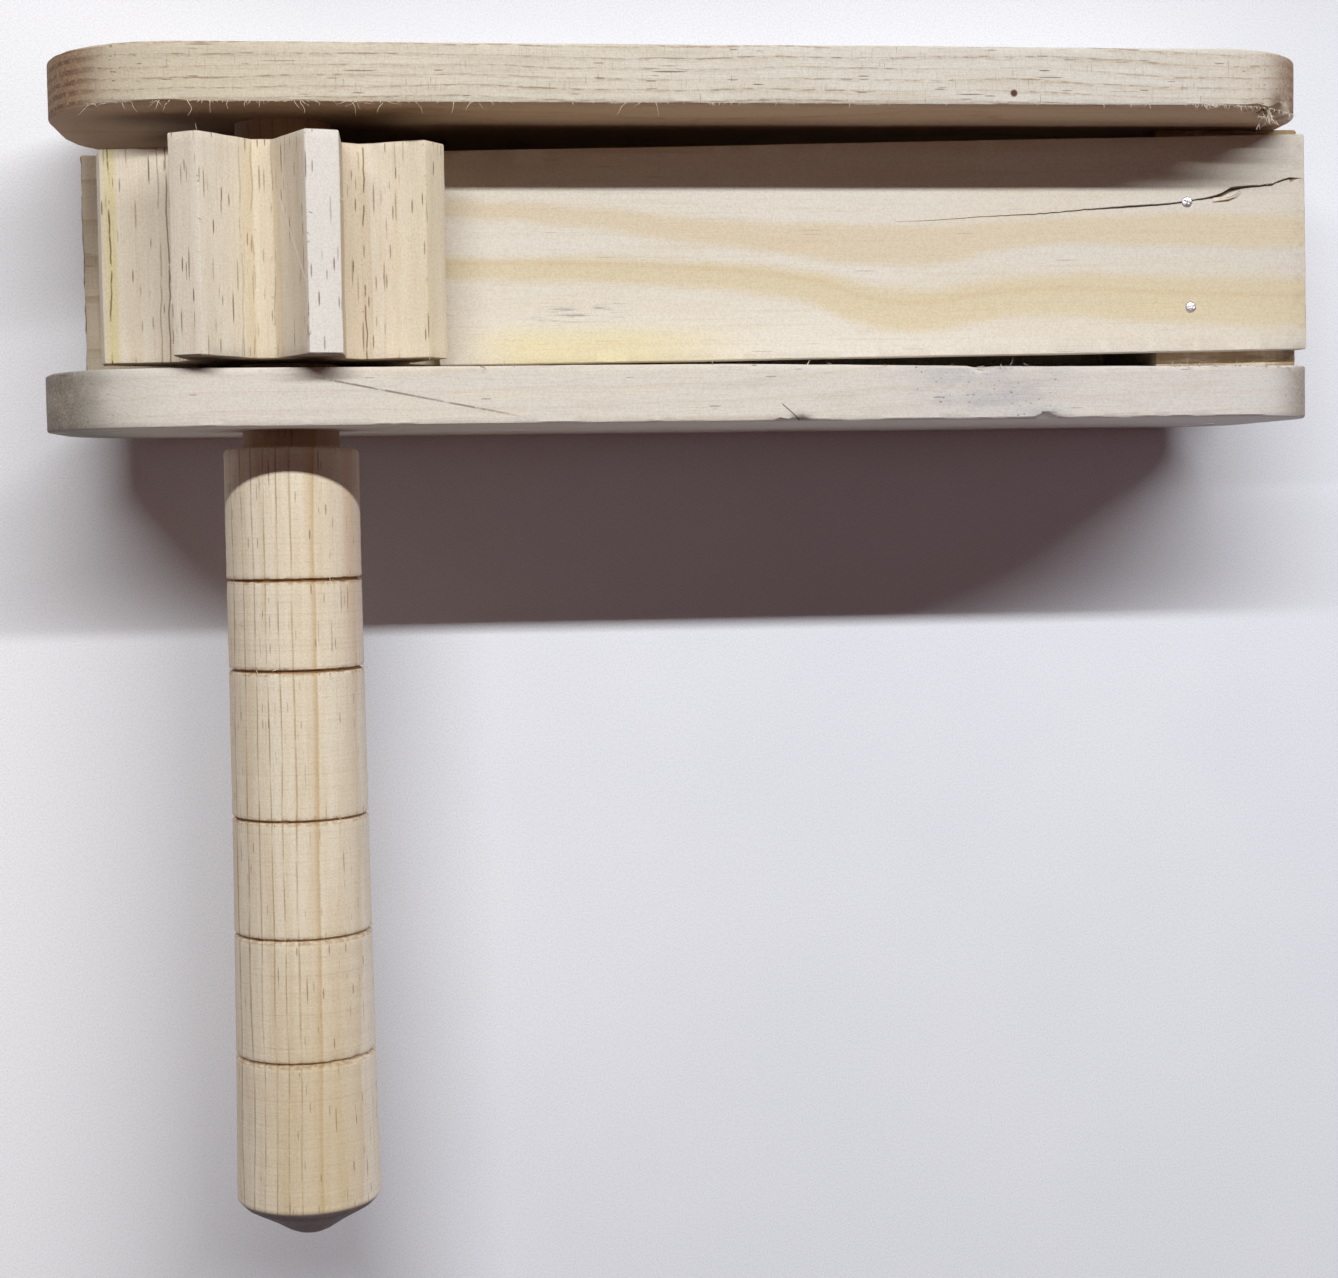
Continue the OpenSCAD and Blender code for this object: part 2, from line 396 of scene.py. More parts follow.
def board(name, low, high, nicks, chips, seed, planed=0.0):
    """A side board, rounded at its corners and bored for the axle; planed thins its inner front edge."""
    corners = [(low.x, low.z, COG_END_R), (high.x, low.z, BLOCK_END_R),
               (high.x, high.z, BLOCK_END_R), (low.x, high.z, COG_END_R)]
    slab = Slab(rounded_outline(corners, CELL), low.y, high.y, [((0, AXLE.z), BORE_R)], seed=seed)
    rough = chipped(sawn(0.1 * MM, 25 * MM, seed), chips)

    def shape(point, normal):
        up = clamp((point.z - PLANED_LOW) / PLANED_RISE)
        inner = clamp((point.y - low.y) / (high.y - low.y))
        return rough(point, normal) - Vector((0, planed * planed_share(point.x) * up * inner, 0))

    made = slab.build(name, from_xz, shape, rows=10, wear=rough_edge(seed, nicks))
    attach(made, "frame")
    return made


def upper_board():
    nicks = [(181 * MM, UPPER_LOW.y, 9 * MM, 2.2), (-20 * MM, UPPER_LOW.y, 6 * MM, 1.2)]
    chips = [(186 * MM, UPPER_LOW.y, 60 * MM, 3.2 * MM, 1),
             (180 * MM, UPPER_LOW.y, 63.5 * MM, 1.8 * MM, 1),
             (191 * MM, UPPER_LOW.y, 54 * MM, 2.4 * MM, 1)]
    made = board("upper_board_wood", UPPER_LOW, UPPER_HIGH, nicks, chips, 11)
    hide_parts("upper_board")
    return made


def lower_board():
    nicks = [(92 * MM, LOWER_LOW.y, 3.5 * MM, 5.0), (140 * MM, LOWER_LOW.y, 2.6 * MM, 4.0),
             (130 * MM, LOWER_HIGH.y, 7 * MM, 1.5), (180 * MM, LOWER_HIGH.y, 12 * MM, 1.2)]
    chips = [(94 * MM, LOWER_LOW.y, LOWER_HIGH.z, 1.3 * MM, 1),
             (90 * MM, LOWER_LOW.y, LOWER_HIGH.z, 0.8 * MM, 1),
             (140 * MM, LOWER_LOW.y, LOWER_HIGH.z, 1.5 * MM, 1),
             (128 * MM, LOWER_HIGH.y, LOWER_HIGH.z, 1.4 * MM, -1),
             (181 * MM, LOWER_HIGH.y, 64 * MM, 1.3 * MM, -1)]
    made = board("lower_board_wood", LOWER_LOW, LOWER_HIGH, nicks, chips, 23, planed=PLANED)
    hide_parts("lower_board")
    return made


def square_cut(low, high, name, node, seed, amount):
    """A square-cut piece, such as the slat or the end block, with rough ends."""
    radius = 0.5 * MM
    row = 2.5 * MM
    corners = [(low.x, low.y, radius), (high.x, low.y, radius),
               (high.x, high.y, radius), (low.x, high.y, radius)]
    slab = Slab(rounded_outline(corners, CELL), low.z, high.z, seed=seed)

    def shape(point, normal):
        rough = amount * (1 + 2.5 * abs(normal.x)) * wander(point, 3 * MM, seed)
        return point + normal * (rough - amount if abs(normal.x) > 0.5 else rough * 0.4)

    made = slab.build(name, from_xy, shape, rows=max(4, int((high.z - low.z) / row)), wear=rough_edge(seed))
    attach(made, "frame")
    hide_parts(node)
    return made


# The crack in the leaf's top, from its nailed end: place in mm, and half its width there
CRACK = [((198.6, 14.7), 0.36), ((196.4, 13.6), 0.3), ((194.2, 13.0), 0.26), ((191.8, 12.1), 0.3),
         ((189.3, 11.8), 0.26), ((186.2, 11.6), 0.34), ((183.4, 11.1), 0.58), ((181.6, 10.1), 0.5),
         ((179.2, 9.5), 0.3), ((176.4, 9.1), 0.22), ((171.0, 8.3), 0.24), ((163.0, 7.8), 0.28),
         ((154.0, 7.2), 0.18), ((145.0, 6.4), 0.16), ((134.0, 5.9), 0.11), ((124.0, 5.2), 0.08),
         ((115.4, 4.9), 0.02)]
CRACK_DEPTH = 1.5 * MM
CRACK_SLOPE = 3.2                       # a narrow stretch is this many times as deep as half its width
CRACK_STEP = 1.1                        # mm between two points of it
CRACK_SKIPPED = 2                       # its first points would lie on the leaf's rim


def crack_lines():
    """The crack's middle line as flat points in metres, and half its width at each."""
    middle, widths = [], []
    for ((x0, y0), w0), ((x1, y1), w1) in zip(CRACK, CRACK[1:]):
        steps = max(1, int((x0 - x1) / CRACK_STEP))
        for k in range(steps):
            t = k / steps
            jitter = 0.12 * noise.noise(Vector(((x0 + (x1 - x0) * t) / 1.3, 4.0, 0)))
            middle.append(Vector((x0 + (x1 - x0) * t, y0 + (y1 - y0) * t + jitter)) * MM)
            widths.append((w0 + (w1 - w0) * t) * MM)
    return middle[CRACK_SKIPPED:], widths[CRACK_SKIPPED:]


def leaf_frame(u, v):
    """A flat point in the frame from one along and across the leaf, measured from its nailed end."""
    c, s = math.cos(LEAF_SKEW), math.sin(LEAF_SKEW)
    return Vector((LEAF_END + u * c - v * s, LEAF_MID_Y + u * s + v * c))


def leaf():
    """The thin leaf, cracked from its nailed end, built straight; the real one bends as the cog lifts it."""
    outline = [(-LEAF_LEN, -LEAF_FREE_W / 2), (0, -LEAF_W / 2),
               (0, LEAF_W / 2), (-LEAF_LEN, LEAF_FREE_W / 2)]
    corners = [(*leaf_frame(u, v), WORN_CORNER) for u, v in outline]
    slab = Slab(rounded_outline(corners, CELL), LEAF_LOW.z, LEAF_HIGH.z, cell=2.6 * MM, edge=0.3 * MM, seed=5)
    middle, widths = crack_lines()
    across = Vector((0.2, 1)).normalized()
    lips = [[m + across * side * w for m, w in zip(middle, widths)] for side in (1, -1)]
    slab.marks = [middle, *lips]
    deep = {(round(m.x, 6), round(m.y, 6)): w for m, w in zip(middle, widths)}
    wave = sawn(0.08 * MM, 22 * MM, 31)

    def shape(point, normal):
        half = deep.get((round(point.x, 6), round(point.y, 6)))
        if half is not None and normal.z > 0.5:
            return point - Vector((0, 0, min(CRACK_DEPTH, CRACK_SLOPE * half)))
        return wave(point, normal)

    made = slab.build("leaf_wood", from_xy, shape, rows=3, wear=rough_edge(5))
    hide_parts("leaf")
    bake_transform(made)
    return made


def cog_corners():
    """The cog's outline seen from the handle's side, corner by corner, anticlockwise in XZ."""
    teeth = len(TOOTH_ERRORS)

    def turn(k):
        return COG_TURN + k * 360 / teeth + TOOTH_ERRORS[k % teeth]

    def polar(degrees, r, across):
        a = math.radians(degrees)
        return (r * math.sin(a) + across * math.cos(a), AXLE.z + r * math.cos(a) - across * math.sin(a))

    corners = []
    for k in range(teeth):
        gap = (turn(k) + turn(k + 1)) / 2
        corners += [(*polar(turn(k), COG_R, -TOOTH_FLAT / 2), WORN_CORNER),
                    (*polar(turn(k), COG_R, TOOTH_FLAT / 2), WORN_CORNER),
                    (*polar(gap, COG_ROOT_R, -ROOT_FLAT / 2), ROOT_CORNER),
                    (*polar(gap, COG_ROOT_R, ROOT_FLAT / 2), ROOT_CORNER)]
    return corners[::-1]


def cog():
    """The toothed cog, its teeth sawn by hand."""
    slab = Slab(rounded_outline(cog_corners(), CELL), COG_LOW.y, COG_HIGH.y, [((0, AXLE.z), AXLE_R)],
                cell=3 * MM, edge=0.3 * MM, seed=7)
    made = slab.build("cog_wood", from_xz, sawn(0.13 * MM, 16 * MM, 47), rows=22, wear=rough_edge(7))
    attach(made, "rotor")
    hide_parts("cog")
    return made


AXLE_ROW = 2 * MM                       # mesh rows along the bare axle
GRIP_ROW = 0.9 * MM                     # and along the grip

# The blunt tip: a share of its length, and of the grip's radius there
TIP_SHAPE = [(0.0, 1.0), (0.06, 0.975), (0.2, 0.9), (0.32, 0.79), (0.45, 0.655), (0.57, 0.53),
             (0.7, 0.42), (0.82, 0.32), (0.9, 0.22), (0.96, 0.11)]


def grip_radius(d):
    """The grip's radius at a distance below its shoulder: it swells towards the end."""
    return GRIP_R + (GRIP_END_R - GRIP_R) * (d / GRIP_LEN) ** 2.2


def axle_rows():
    """(place, radius) down the axle and over the grip's broken shoulder."""
    top = HANDLE_HIGH.y
    rows = [(top, 0.0), (top, 3 * MM), (top, AXLE_R - 0.9 * MM), (top - 0.2 * MM, AXLE_R - 0.45 * MM),
            (top - 0.6 * MM, AXLE_R)]
    y = top - AXLE_ROW
    while y > SHOULDER_Y + 0.5 * MM:
        rows.append((y, AXLE_R))
        y -= AXLE_ROW
    return rows + [(SHOULDER_Y + 0.02 * MM, AXLE_R), (SHOULDER_Y, AXLE_R + 0.3 * MM),
                   (SHOULDER_Y, GRIP_R - 0.8 * MM), (SHOULDER_Y - 0.25 * MM, GRIP_R - 0.3 * MM),
                   (SHOULDER_Y - 0.8 * MM, GRIP_R)]


def groove_rows(g):
    """(place, radius) across the V of one saw groove."""
    half = GROOVE_W / 2
    cut = [(half + 0.3 * MM, 0.0), (half, 0.05 * MM), (0.6 * half, 0.35 * MM), (0.3 * half, 0.85 * MM)]
    cut += [(-away, depth) for away, depth in reversed(cut)]
    return [(SHOULDER_Y - g + away, grip_radius(g) - depth) for away, depth in cut]


def grip_profile():
    """(place along Y, radius) from the axle's upper end to the tip, in metres."""
    rows = axle_rows()
    d = 1.6 * MM
    while d < GRIP_LEN - 0.6 * MM:
        near = [g for g in GROOVES if abs(g - d) < GROOVE_W / 2 + 0.5 * MM]
        if near:
            rows += groove_rows(near[0])
            d = near[0] + GROOVE_W / 2 + 1.0 * MM
            continue
        rows.append((SHOULDER_Y - d, grip_radius(d)))
        d += GRIP_ROW
    end_r = grip_radius(GRIP_LEN)
    rows += [(SHOULDER_Y - GRIP_LEN - TIP_LEN * share, end_r * part) for share, part in TIP_SHAPE]
    return rows + [(HANDLE_LOW.y, 0.0)]


def handle():
    """The turned handle and its axle in one piece, with burnt saw grooves round the grip."""
    def spot(y, r, turn):
        return (AXLE.x + r * math.sin(turn), y, AXLE.z + r * math.cos(turn))

    verts, rings = turned_rows(grip_profile(), 120, spot)

    def shape(point, normal):
        lathe = 0.035 * MM * math.sin(point.y / (0.62 * MM)) * (0.4 + noise.noise(point / (14 * MM)))
        bow = 0.1 * MM * wander(point, 30 * MM, 4)
        frayed = 0.0
        for g in GROOVES:
            away = abs(point.y - (SHOULDER_Y - g))
            if away < 0.9 * GROOVE_W:
                frayed -= 0.3 * MM * max(0.0, noise.noise(point / (1.5 * MM)) - 0.1)
        if point.y > SHOULDER_Y + 0.1 * MM:
            return point + normal * 0.3 * lathe
        return point + normal * (lathe + bow + frayed)

    made = finish_mesh("handle_wood", verts, stitched(rings), shape, sharp=40)
    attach(made, "rotor")
    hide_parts("handle")
    return made


# ---------------------------------------------------------------- nails
def nail_axis(node):
    """A nail's head centre and the direction it points in, from its CAD mesh."""
    points = [v.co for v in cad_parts[node].data.vertices]
    low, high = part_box(node)
    if node == "cog_nail":
        middle = sum(points, Vector()) / len(points)
        inward = Vector((AXLE.x - middle.x, 0, AXLE.z - middle.z)).normalized()
    else:
        size = high - low
        longest = max(range(3), key=lambda k: size[k])
        middle = (low + high) / 2
        inward = Vector((0, 0, 0))
        inward[longest] = {"leaf": -1, "rear": 1, "upper": -1, "lower": 1}[node.split("_")[0]]
        return middle - inward * size[longest] / 2, inward, size[longest]
    reach = [p.dot(inward) for p in points]
    head = middle + inward * (min(reach) - middle.dot(inward))
    return head, inward, max(reach) - min(reach)


def nail(node, seed):
    """A driven wire nail: a hammered head a hair proud of the wood, a shank and a point."""
    head, inward, length = nail_axis(node)
    rng = random.Random(seed)
    proud = 0.22 * MM
    domed = [(-proud, 0.0), (-proud, 0.35), (-proud * 0.92, 0.65), (-proud * 0.7, 0.86),
             (-proud * 0.3, 0.97), (0.05 * MM, 1.0), (HEAD_T * 0.6, 0.98), (HEAD_T, 0.8)]
    profile = [(d, share * HEAD_R) for d, share in domed]
    profile += [(HEAD_T + 0.2 * MM, SHANK_R), (length - 2 * MM, SHANK_R), (length - 0.8 * MM, SHANK_R * 0.5),
                (length, 0.0)]
    tilt = Vector((rng.uniform(-1, 1), rng.uniform(-1, 1), rng.uniform(-1, 1))) * 0.05
    side = inward.orthogonal().normalized()
    other = inward.cross(side)

    def spot(d, r, turn):
        if not r:
            return head + inward * d
        ray = side * math.cos(turn) + other * math.sin(turn)
        on_head = d <= HEAD_T
        uneven = 1.0 + (0.06 * noise.noise(ray * 2.1 + Vector((seed, 0, 0))) if on_head else 0.0)
        dent = 0.1 * MM * max(0.0, noise.noise(ray * 1.4 + Vector((0, seed, 0)))) if d < 0 else 0.0
        lean = tilt.dot(ray) * r if on_head else 0.0
        return head + inward * (d + dent + lean) + ray * r * uneven

    verts, rings = turned_rows(profile, 28, spot)
    made = finish_mesh(node + "_steel", verts, stitched(rings), sharp=50)
    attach(made, "rotor" if node == "cog_nail" else "frame")
    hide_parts(node)
    return made


# ---------------------------------------------------------------- splinters and fuzz
def hair(start, heading, length, droop, rng, points=7):
    """A curled wood fibre's path."""
    path = [start]
    direction = heading.normalized()
    for _ in range(points - 1):
        direction = (direction + Vector([rng.gauss(0, 0.28) for _ in range(3)]) + droop * 0.25).normalized()
        path.append(path[-1] + direction * length / (points - 1))
    return path


def fuzz(name, body, spots, seed, keep=lambda point: point):
    """Fine fibres off an edge; spots are (start, heading, length, radius); keep holds points in bounds."""
    rng = random.Random(seed)
    verts, faces = [], []
    for start, heading, length, radius in spots:
        path = hair(start, heading, length, Vector((0, -0.4, 0.2)), rng)
        tube([keep(point) for point in path], radius, verts, faces)
    made = finish_mesh(name, verts, faces, sharp=180)
    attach(made, body)
    return made


def corner_drop(x, low_x, high_x):
    """How far a board's rounded corners bring its front edge down at a place along it."""
    right = high_x - BLOCK_END_R
    left = low_x + COG_END_R
    if x > right:
        return BLOCK_END_R - math.sqrt(max(0.0, BLOCK_END_R ** 2 - (x - right) ** 2))
    if x < left:
        return COG_END_R - math.sqrt(max(0.0, COG_END_R ** 2 - (left - x) ** 2))
    return 0.0


def board_fuzz():
    """Fibres along the upper board's lower front edge, thick near the cog and at the block end."""
    rng = random.Random(202)
    spots = []
    edge_y = UPPER_LOW.y + 0.15 * MM
    edge_z = UPPER_HIGH.z - 0.15 * MM
    stretches = [(-34, 36, 34, 3.4), (-34, 100, 60, 0.9), (60, 70, 3, 3.4), (100, 170, 16, 1.0),
                 (168, 192, 80, 1.5)]
    for first, last, count, size in stretches:
        for _ in range(count):
            x = rng.uniform(first, last) * MM
            start = Vector((x, edge_y, edge_z - corner_drop(x, UPPER_LOW.x, UPPER_HIGH.x)))
            heading = Vector((rng.gauss(0, 1.2), -0.5, rng.uniform(0.0, 0.5)))
            spots.append((start, heading, rng.uniform(0.4, 1.0) * size * MM, rng.uniform(0.05, 0.08) * MM))
    clump = Vector((184.5 * MM, edge_y, edge_z - 6 * MM))
    for _ in range(34):
        start = clump + Vector([rng.gauss(0, 0.5) * MM for _ in range(3)])
        heading = Vector((rng.gauss(-0.4, 0.9), -1.3, rng.uniform(-0.3, 0.5)))
        spots.append((start, heading, rng.uniform(1.5, 4.5) * MM, rng.uniform(0.12, 0.22) * MM))
    return fuzz("upper_board_fuzz", "frame", spots, 31)


def crack_splinter():
    """The pale sliver that curls up out of the crack in the leaf."""
    top = LEAF_HIGH.z
    route = [(179.8, 8.9, 0.0), (181.3, 9.1, 0.25), (182.9, 9.3, 0.45), (184.3, 9.9, 0.6), (185.3, 10.8, 0.5)]
    verts, faces = [], []
    for shift in (0.0, 0.35):
        path = [Vector((x * MM, (y + shift) * MM, top + z * MM - shift * 0.5 * MM)) for x, y, z in route]
        tube(path, 0.3 * MM, verts, faces, sides=6)
    made = finish_mesh("leaf_splinter", verts, faces, sharp=60)
    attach(made, "frame")
    return made


def lower_fuzz():
    """Splinters on the lower board's upper front edge."""
    rng = random.Random(77)
    spots = []
    for first, last, count in ((118, 137, 9), (163, 192, 24), (0, 110, 8)):
        for _ in range(count):
            start = Vector((rng.uniform(first, last) * MM, LOWER_HIGH.y - 0.2 * MM, LOWER_HIGH.z - 0.2 * MM))
            start.y -= PLANED * planed_share(start.x)
            start.z -= corner_drop(start.x, LOWER_LOW.x, LOWER_HIGH.x)
            heading = Vector((rng.gauss(0, 1.0), 0.6, 0.2))
            spots.append((start, heading, rng.uniform(0.6, 2.0) * MM, rng.uniform(0.06, 0.12) * MM))
    return fuzz("lower_board_fuzz", "frame", spots, 32)


def cog_fuzz():
    """Fibres on the edges of the front tooth and at the handle's side of the cog."""
    rng = random.Random(9)
    spots = []
    corners = [c for c in cog_corners() if c[1] > AXLE.z + 15 * MM]
    for x, z, _ in corners:
        for _ in range(7):
            y = rng.uniform(COG_LOW.y, COG_HIGH.y)
            heading = Vector((rng.gauss(0, 0.7), rng.gauss(0, 1.2), 0.6))
            spots.append((Vector((x, y, z - 0.15 * MM)), heading,
                          rng.uniform(0.5, 1.5) * MM, rng.uniform(0.05, 0.09) * MM))

    def keep(point):
        """Clear of the back slat when the cog turns."""
        off = Vector((point.x, 0, point.z - AXLE.z))
        reach = COG_R + 0.3 * MM
        if off.length <= reach:
            return point
        return point - off * (1 - reach / off.length)

    return fuzz("cog_fuzz", "rotor", spots, 33, keep)


def handle_fuzz():
    """Frayed fibres in the saw grooves."""
    rng = random.Random(14)
    spots = []
    for g in GROOVES:
        for _ in range(16):
            t = rng.uniform(0, 2 * math.pi)
            ray = Vector((math.sin(t), 0, math.cos(t)))
            lip = SHOULDER_Y - g + rng.choice((-1, 1)) * 0.4 * MM
            start = AXLE + ray * (GRIP_R - 0.15 * MM) + Vector((0, lip, 0))
            heading = ray * 0.5 + Vector((rng.gauss(0, 0.5), rng.gauss(0, 1), rng.gauss(0, 0.5)))
            spots.append((start, heading, rng.uniform(0.5, 1.7) * MM, rng.uniform(0.06, 0.13) * MM))
    return fuzz("handle_fuzz", "rotor", spots, 34)


# ---------------------------------------------------------------- material tools
def tone(red, green, blue):
    """A linear colour from display values out of 255."""
    def linear(value):
        share = value / 255
        return share / 12.92 if share <= 0.04045 else ((share + 0.055) / 1.055) ** 2.4
    return (linear(red), linear(green), linear(blue), 1.0)


class Graph:
    """A material's nodes, made in short calls. Its lengths are in millimetres of the object's own space."""

    def __init__(self, name):
        self.material = bpy.data.materials.new(name)
        self.material.use_nodes = True
        self.tree = self.material.node_tree
        self.shader = self.tree.nodes["Principled BSDF"]
        source = self.node("ShaderNodeTexCoord")
        scaled = self.node("ShaderNodeVectorMath", operation="SCALE")
        self.put(source.outputs["Object"], scaled.inputs[0])
        scaled.inputs["Scale"].default_value = 1 / MM
        self.place = scaled.outputs[0]
        self.normal = source.outputs["Normal"]
        self.x, self.y, self.z = self.split(self.place)

    def node(self, kind, **settings):
        made = self.tree.nodes.new(kind)
        for key, value in settings.items():
            setattr(made, key, value)
        return made

    def filled(self, kind, sockets, **settings):
        """A new node with these sockets set or linked."""
        made = self.node(kind, **settings)
        for name, value in sockets.items():
            self.put(value, made.inputs[name])
        return made

    def put(self, value, socket):
        if isinstance(value, bpy.types.NodeSocket):
            self.tree.links.new(value, socket)
        else:
            socket.default_value = value

    def split(self, vector):
        made = self.node("ShaderNodeSeparateXYZ")
        self.put(vector, made.inputs[0])
        return made.outputs[0], made.outputs[1], made.outputs[2]

    def join(self, x, y, z):
        made = self.node("ShaderNodeCombineXYZ")
        for value, socket in zip((x, y, z), made.inputs):
            self.put(value, socket)
        return made.outputs[0]

    def math(self, operation, a, b=0.0, c=0.0):
        made = self.node("ShaderNodeMath", operation=operation)
        for value, socket in zip((a, b, c), made.inputs):
            self.put(value, socket)
        return made.outputs[0]

    def add(self, a, b):
        return self.math("ADD", a, b)

    def times(self, first, *others):
        """The values multiplied together."""
        for other in others:
            first = self.math("MULTIPLY", first, other)
        return first

    def less(self, a):
        return self.math("SUBTRACT", 1.0, a)

    def smooth(self, value, low, high):
        """0 at low and 1 at high, smooth between them; low may be above high."""
        turned = float(low > high)
        made = self.filled("ShaderNodeMapRange", {
            "Value": value, "From Min": min(low, high), "From Max": max(low, high),
            "To Min": turned, "To Max": 1.0 - turned}, interpolation_type="SMOOTHSTEP")
        return made.outputs["Result"]

    def bump_shape(self, value, centre, width, soft):
        """1 within width of centre, falling to 0 over soft."""
        away = self.math("ABSOLUTE", self.math("SUBTRACT", value, centre))
        return self.smooth(away, width + soft, width)

    def noise(self, vector, scale=1.0, detail=3.0, roughness=0.55):
        made = self.filled("ShaderNodeTexNoise", {
            "Vector": vector, "Scale": scale, "Detail": detail, "Roughness": roughness})
        return made.outputs[0]

    def stretched(self, along, length, width, shift=0.0):
        """Coordinates in which a feature that long and wide, along that axis, is one unit."""
        scales = [1 / length if axis == along else 1 / width for axis in "xyz"]
        moved = (shift, shift * 0.7, -shift)
        made = self.filled("ShaderNodeVectorMath", {0: self.place, 1: scales, 2: moved},
                           operation="MULTIPLY_ADD")
        return made.outputs[0]

    def curve(self, value, low, high, points):
        """A smooth line through given (place, height) points, place running from low to high."""
        made = self.node("ShaderNodeFloatCurve")
        heights = [h for _, h in points]
        bottom, top = min(heights), max(heights)
        span = (top - bottom) or 1.0
        line = made.mapping.curves[0]
        shares = [((p - low) / (high - low), (h - bottom) / span) for p, h in points]
        while len(line.points) < len(shares):
            line.points.new(0.5, 0.5)
        for point, (along, height) in zip(line.points, shares):
            point.location = (along, height)
        made.mapping.update()
        self.put(self.straight(value, low, high), made.inputs["Value"])
        return self.math("MULTIPLY_ADD", made.outputs[0], span, bottom)

    def straight(self, value, low, high):
        """0 at low and 1 at high, in a straight line."""
        made = self.filled("ShaderNodeMapRange", {"Value": value, "From Min": low, "From Max": high})
        return made.outputs["Result"]

    def ramp(self, value, stops):
        """The colour at a value between (place, colour) stops."""
        made = self.node("ShaderNodeValToRGB")
        row = made.color_ramp
        while len(row.elements) < len(stops):
            row.elements.new(0.5)
        for element, (place, colour) in zip(row.elements, stops):
            element.position = place
            element.color = colour
        self.put(value, made.inputs[0])
        return made.outputs[0]

    def profile(self, value, stops):
        """A ramp of plain heights."""
        return self.ramp(value, [(place, (h, h, h, 1.0)) for place, h in stops])

    def tint(self, colour, mask, share, over):
        """Lays a colour over another where the mask is, at that share."""
        return self.mix(self.times(mask, share), colour, over)

    def mix(self, share, a, b, blend="MIX"):
        """Colour a, going over to b by share."""
        made = self.filled("ShaderNodeMix", {0: share, 6: a, 7: b}, data_type="RGBA", blend_type=blend)
        return made.outputs[2]

    def dashes(self, along, length, width, share, shift=0.0):
        """Short dark dashes along the grain, each in its own cell; share of the cells has one."""
        place = self.stretched(along, length * 2, width * 2, shift)
        cells = self.filled("ShaderNodeTexVoronoi", {"Vector": place, "Scale": 1.0}, feature="F1")
        near = self.smooth(cells.outputs["Distance"], 0.27, 0.16)
        red, green, _ = self.split(cells.outputs["Color"])
        chosen = self.math("LESS_THAN", red, share)
        return self.times(near, chosen, self.math("MULTIPLY_ADD", green, 0.7, 0.3))

    def most(self, a, b):
        """The larger of two values."""
        return self.math("MAXIMUM", a, b)

    def fibre(self, along, length, width, shift=0.0, detail=3.0):
        """Noise in streaks that long and wide along the grain."""
        return self.noise(self.stretched(along, length, width, shift), 1.0, detail, 0.6)

    def end_grain(self, along):
        """1 on faces cut across the grain."""
        facing = self.split(self.normal)["xyz".index(along)]
        return self.smooth(self.math("ABSOLUTE", facing), 0.35, 0.85)

    def finish(self, colour, height, roughness=0.8, strength=0.5, depth=0.25 * MM, speckles=0.13):
        """Sets the shader: its colour, finely speckled, its roughness and a bump from height."""
        speckle = self.smooth(self.noise(self.place, 2.6, 4.0, 0.65), 0.62, 0.34)
        colour = self.mix(self.times(speckle, speckles), colour, tone(96, 72, 56), "MULTIPLY")
        self.put(colour, self.shader.inputs["Base Color"])
        self.put(roughness, self.shader.inputs["Roughness"])
        self.shader.inputs["Specular IOR Level"].default_value = 0.3
        bump = self.filled("ShaderNodeBump", {"Strength": strength, "Distance": depth, "Height": height})
        self.put(bump.outputs[0], self.shader.inputs["Normal"])
        return self.material


def ring_lines(g, phase, sharp=0.93):
    """Growth rings from a phase: 0 in pale early wood, rising to 1 in the dark late wood."""
    part = g.math("FRACT", phase)
    return g.profile(part, [(0.0, 0.0), (0.45, 0.05), (0.75, 0.3), (sharp, 1.0), (1.0, 0.0)])


def wood_height(g, along, rings, dashes):
    """Height for the bump: fine fibres, raised late wood, sunk dashes and saw fuzz."""
    fine = g.fibre(along, 5.0, 0.28, 9.0)
    fuzzy = g.noise(g.place, 2.2, 4.0)
    height = g.add(g.times(fine, 0.6), g.times(fuzzy, 0.35))
    height = g.add(height, g.times(rings, 0.12))
    return g.math("SUBTRACT", height, g.times(dashes, 0.6))


def cut_across(g, colour, along, dark, pale):
    """Darker, spotted end grain where the surface cuts across the fibres."""
    pores = g.noise(g.place, 1.9, 5.0, 0.7)
    spotted = g.mix(g.smooth(pores, 0.35, 0.68), dark, pale)
    shade = g.mix(0.55, colour, spotted)
    shaded = g.mix(0.75, shade, spotted, "MULTIPLY")
    return g.mix(g.end_grain(along), colour, g.mix(0.5, shade, shaded))


# ---------------------------------------------------------------- materials
PINHOLE = (134.1, 25.5, 66.0)           # mm, in the upper board's front edge


def pinhole(g, colour):
    """A small dark hole."""
    away = g.filled("ShaderNodeVectorMath", {0: g.place, 1: PINHOLE}, operation="DISTANCE")
    return g.mix(g.smooth(away.outputs["Value"], 0.85, 0.45), colour, tone(92, 62, 48))


def upper_ends(g, colour, wave):
    """Brown end grain on the rounded ends, away from the board's two faces."""
    stacked = g.smooth(g.math("SINE", g.times(g.add(g.y, g.times(wave, 2.0)), 3.3)), -0.5, 0.7)
    stacked = g.times(stacked, g.smooth(g.noise(g.place, 0.5, 3.0), 0.3, 0.55))
    end = g.mix(stacked, tone(206, 176, 140), tone(128, 86, 54))
    rim = g.smooth(g.math("ABSOLUTE", g.split(g.normal)[1]), 0.75, 0.4)
    left = g.times(g.smooth(g.x, -29.0, -37.0), rim)
    colour = g.tint(colour, left, 0.8, end)
    right = g.times(g.smooth(g.x, 183.0, 193.0), rim)
    return g.tint(colour, right, 0.5, end)


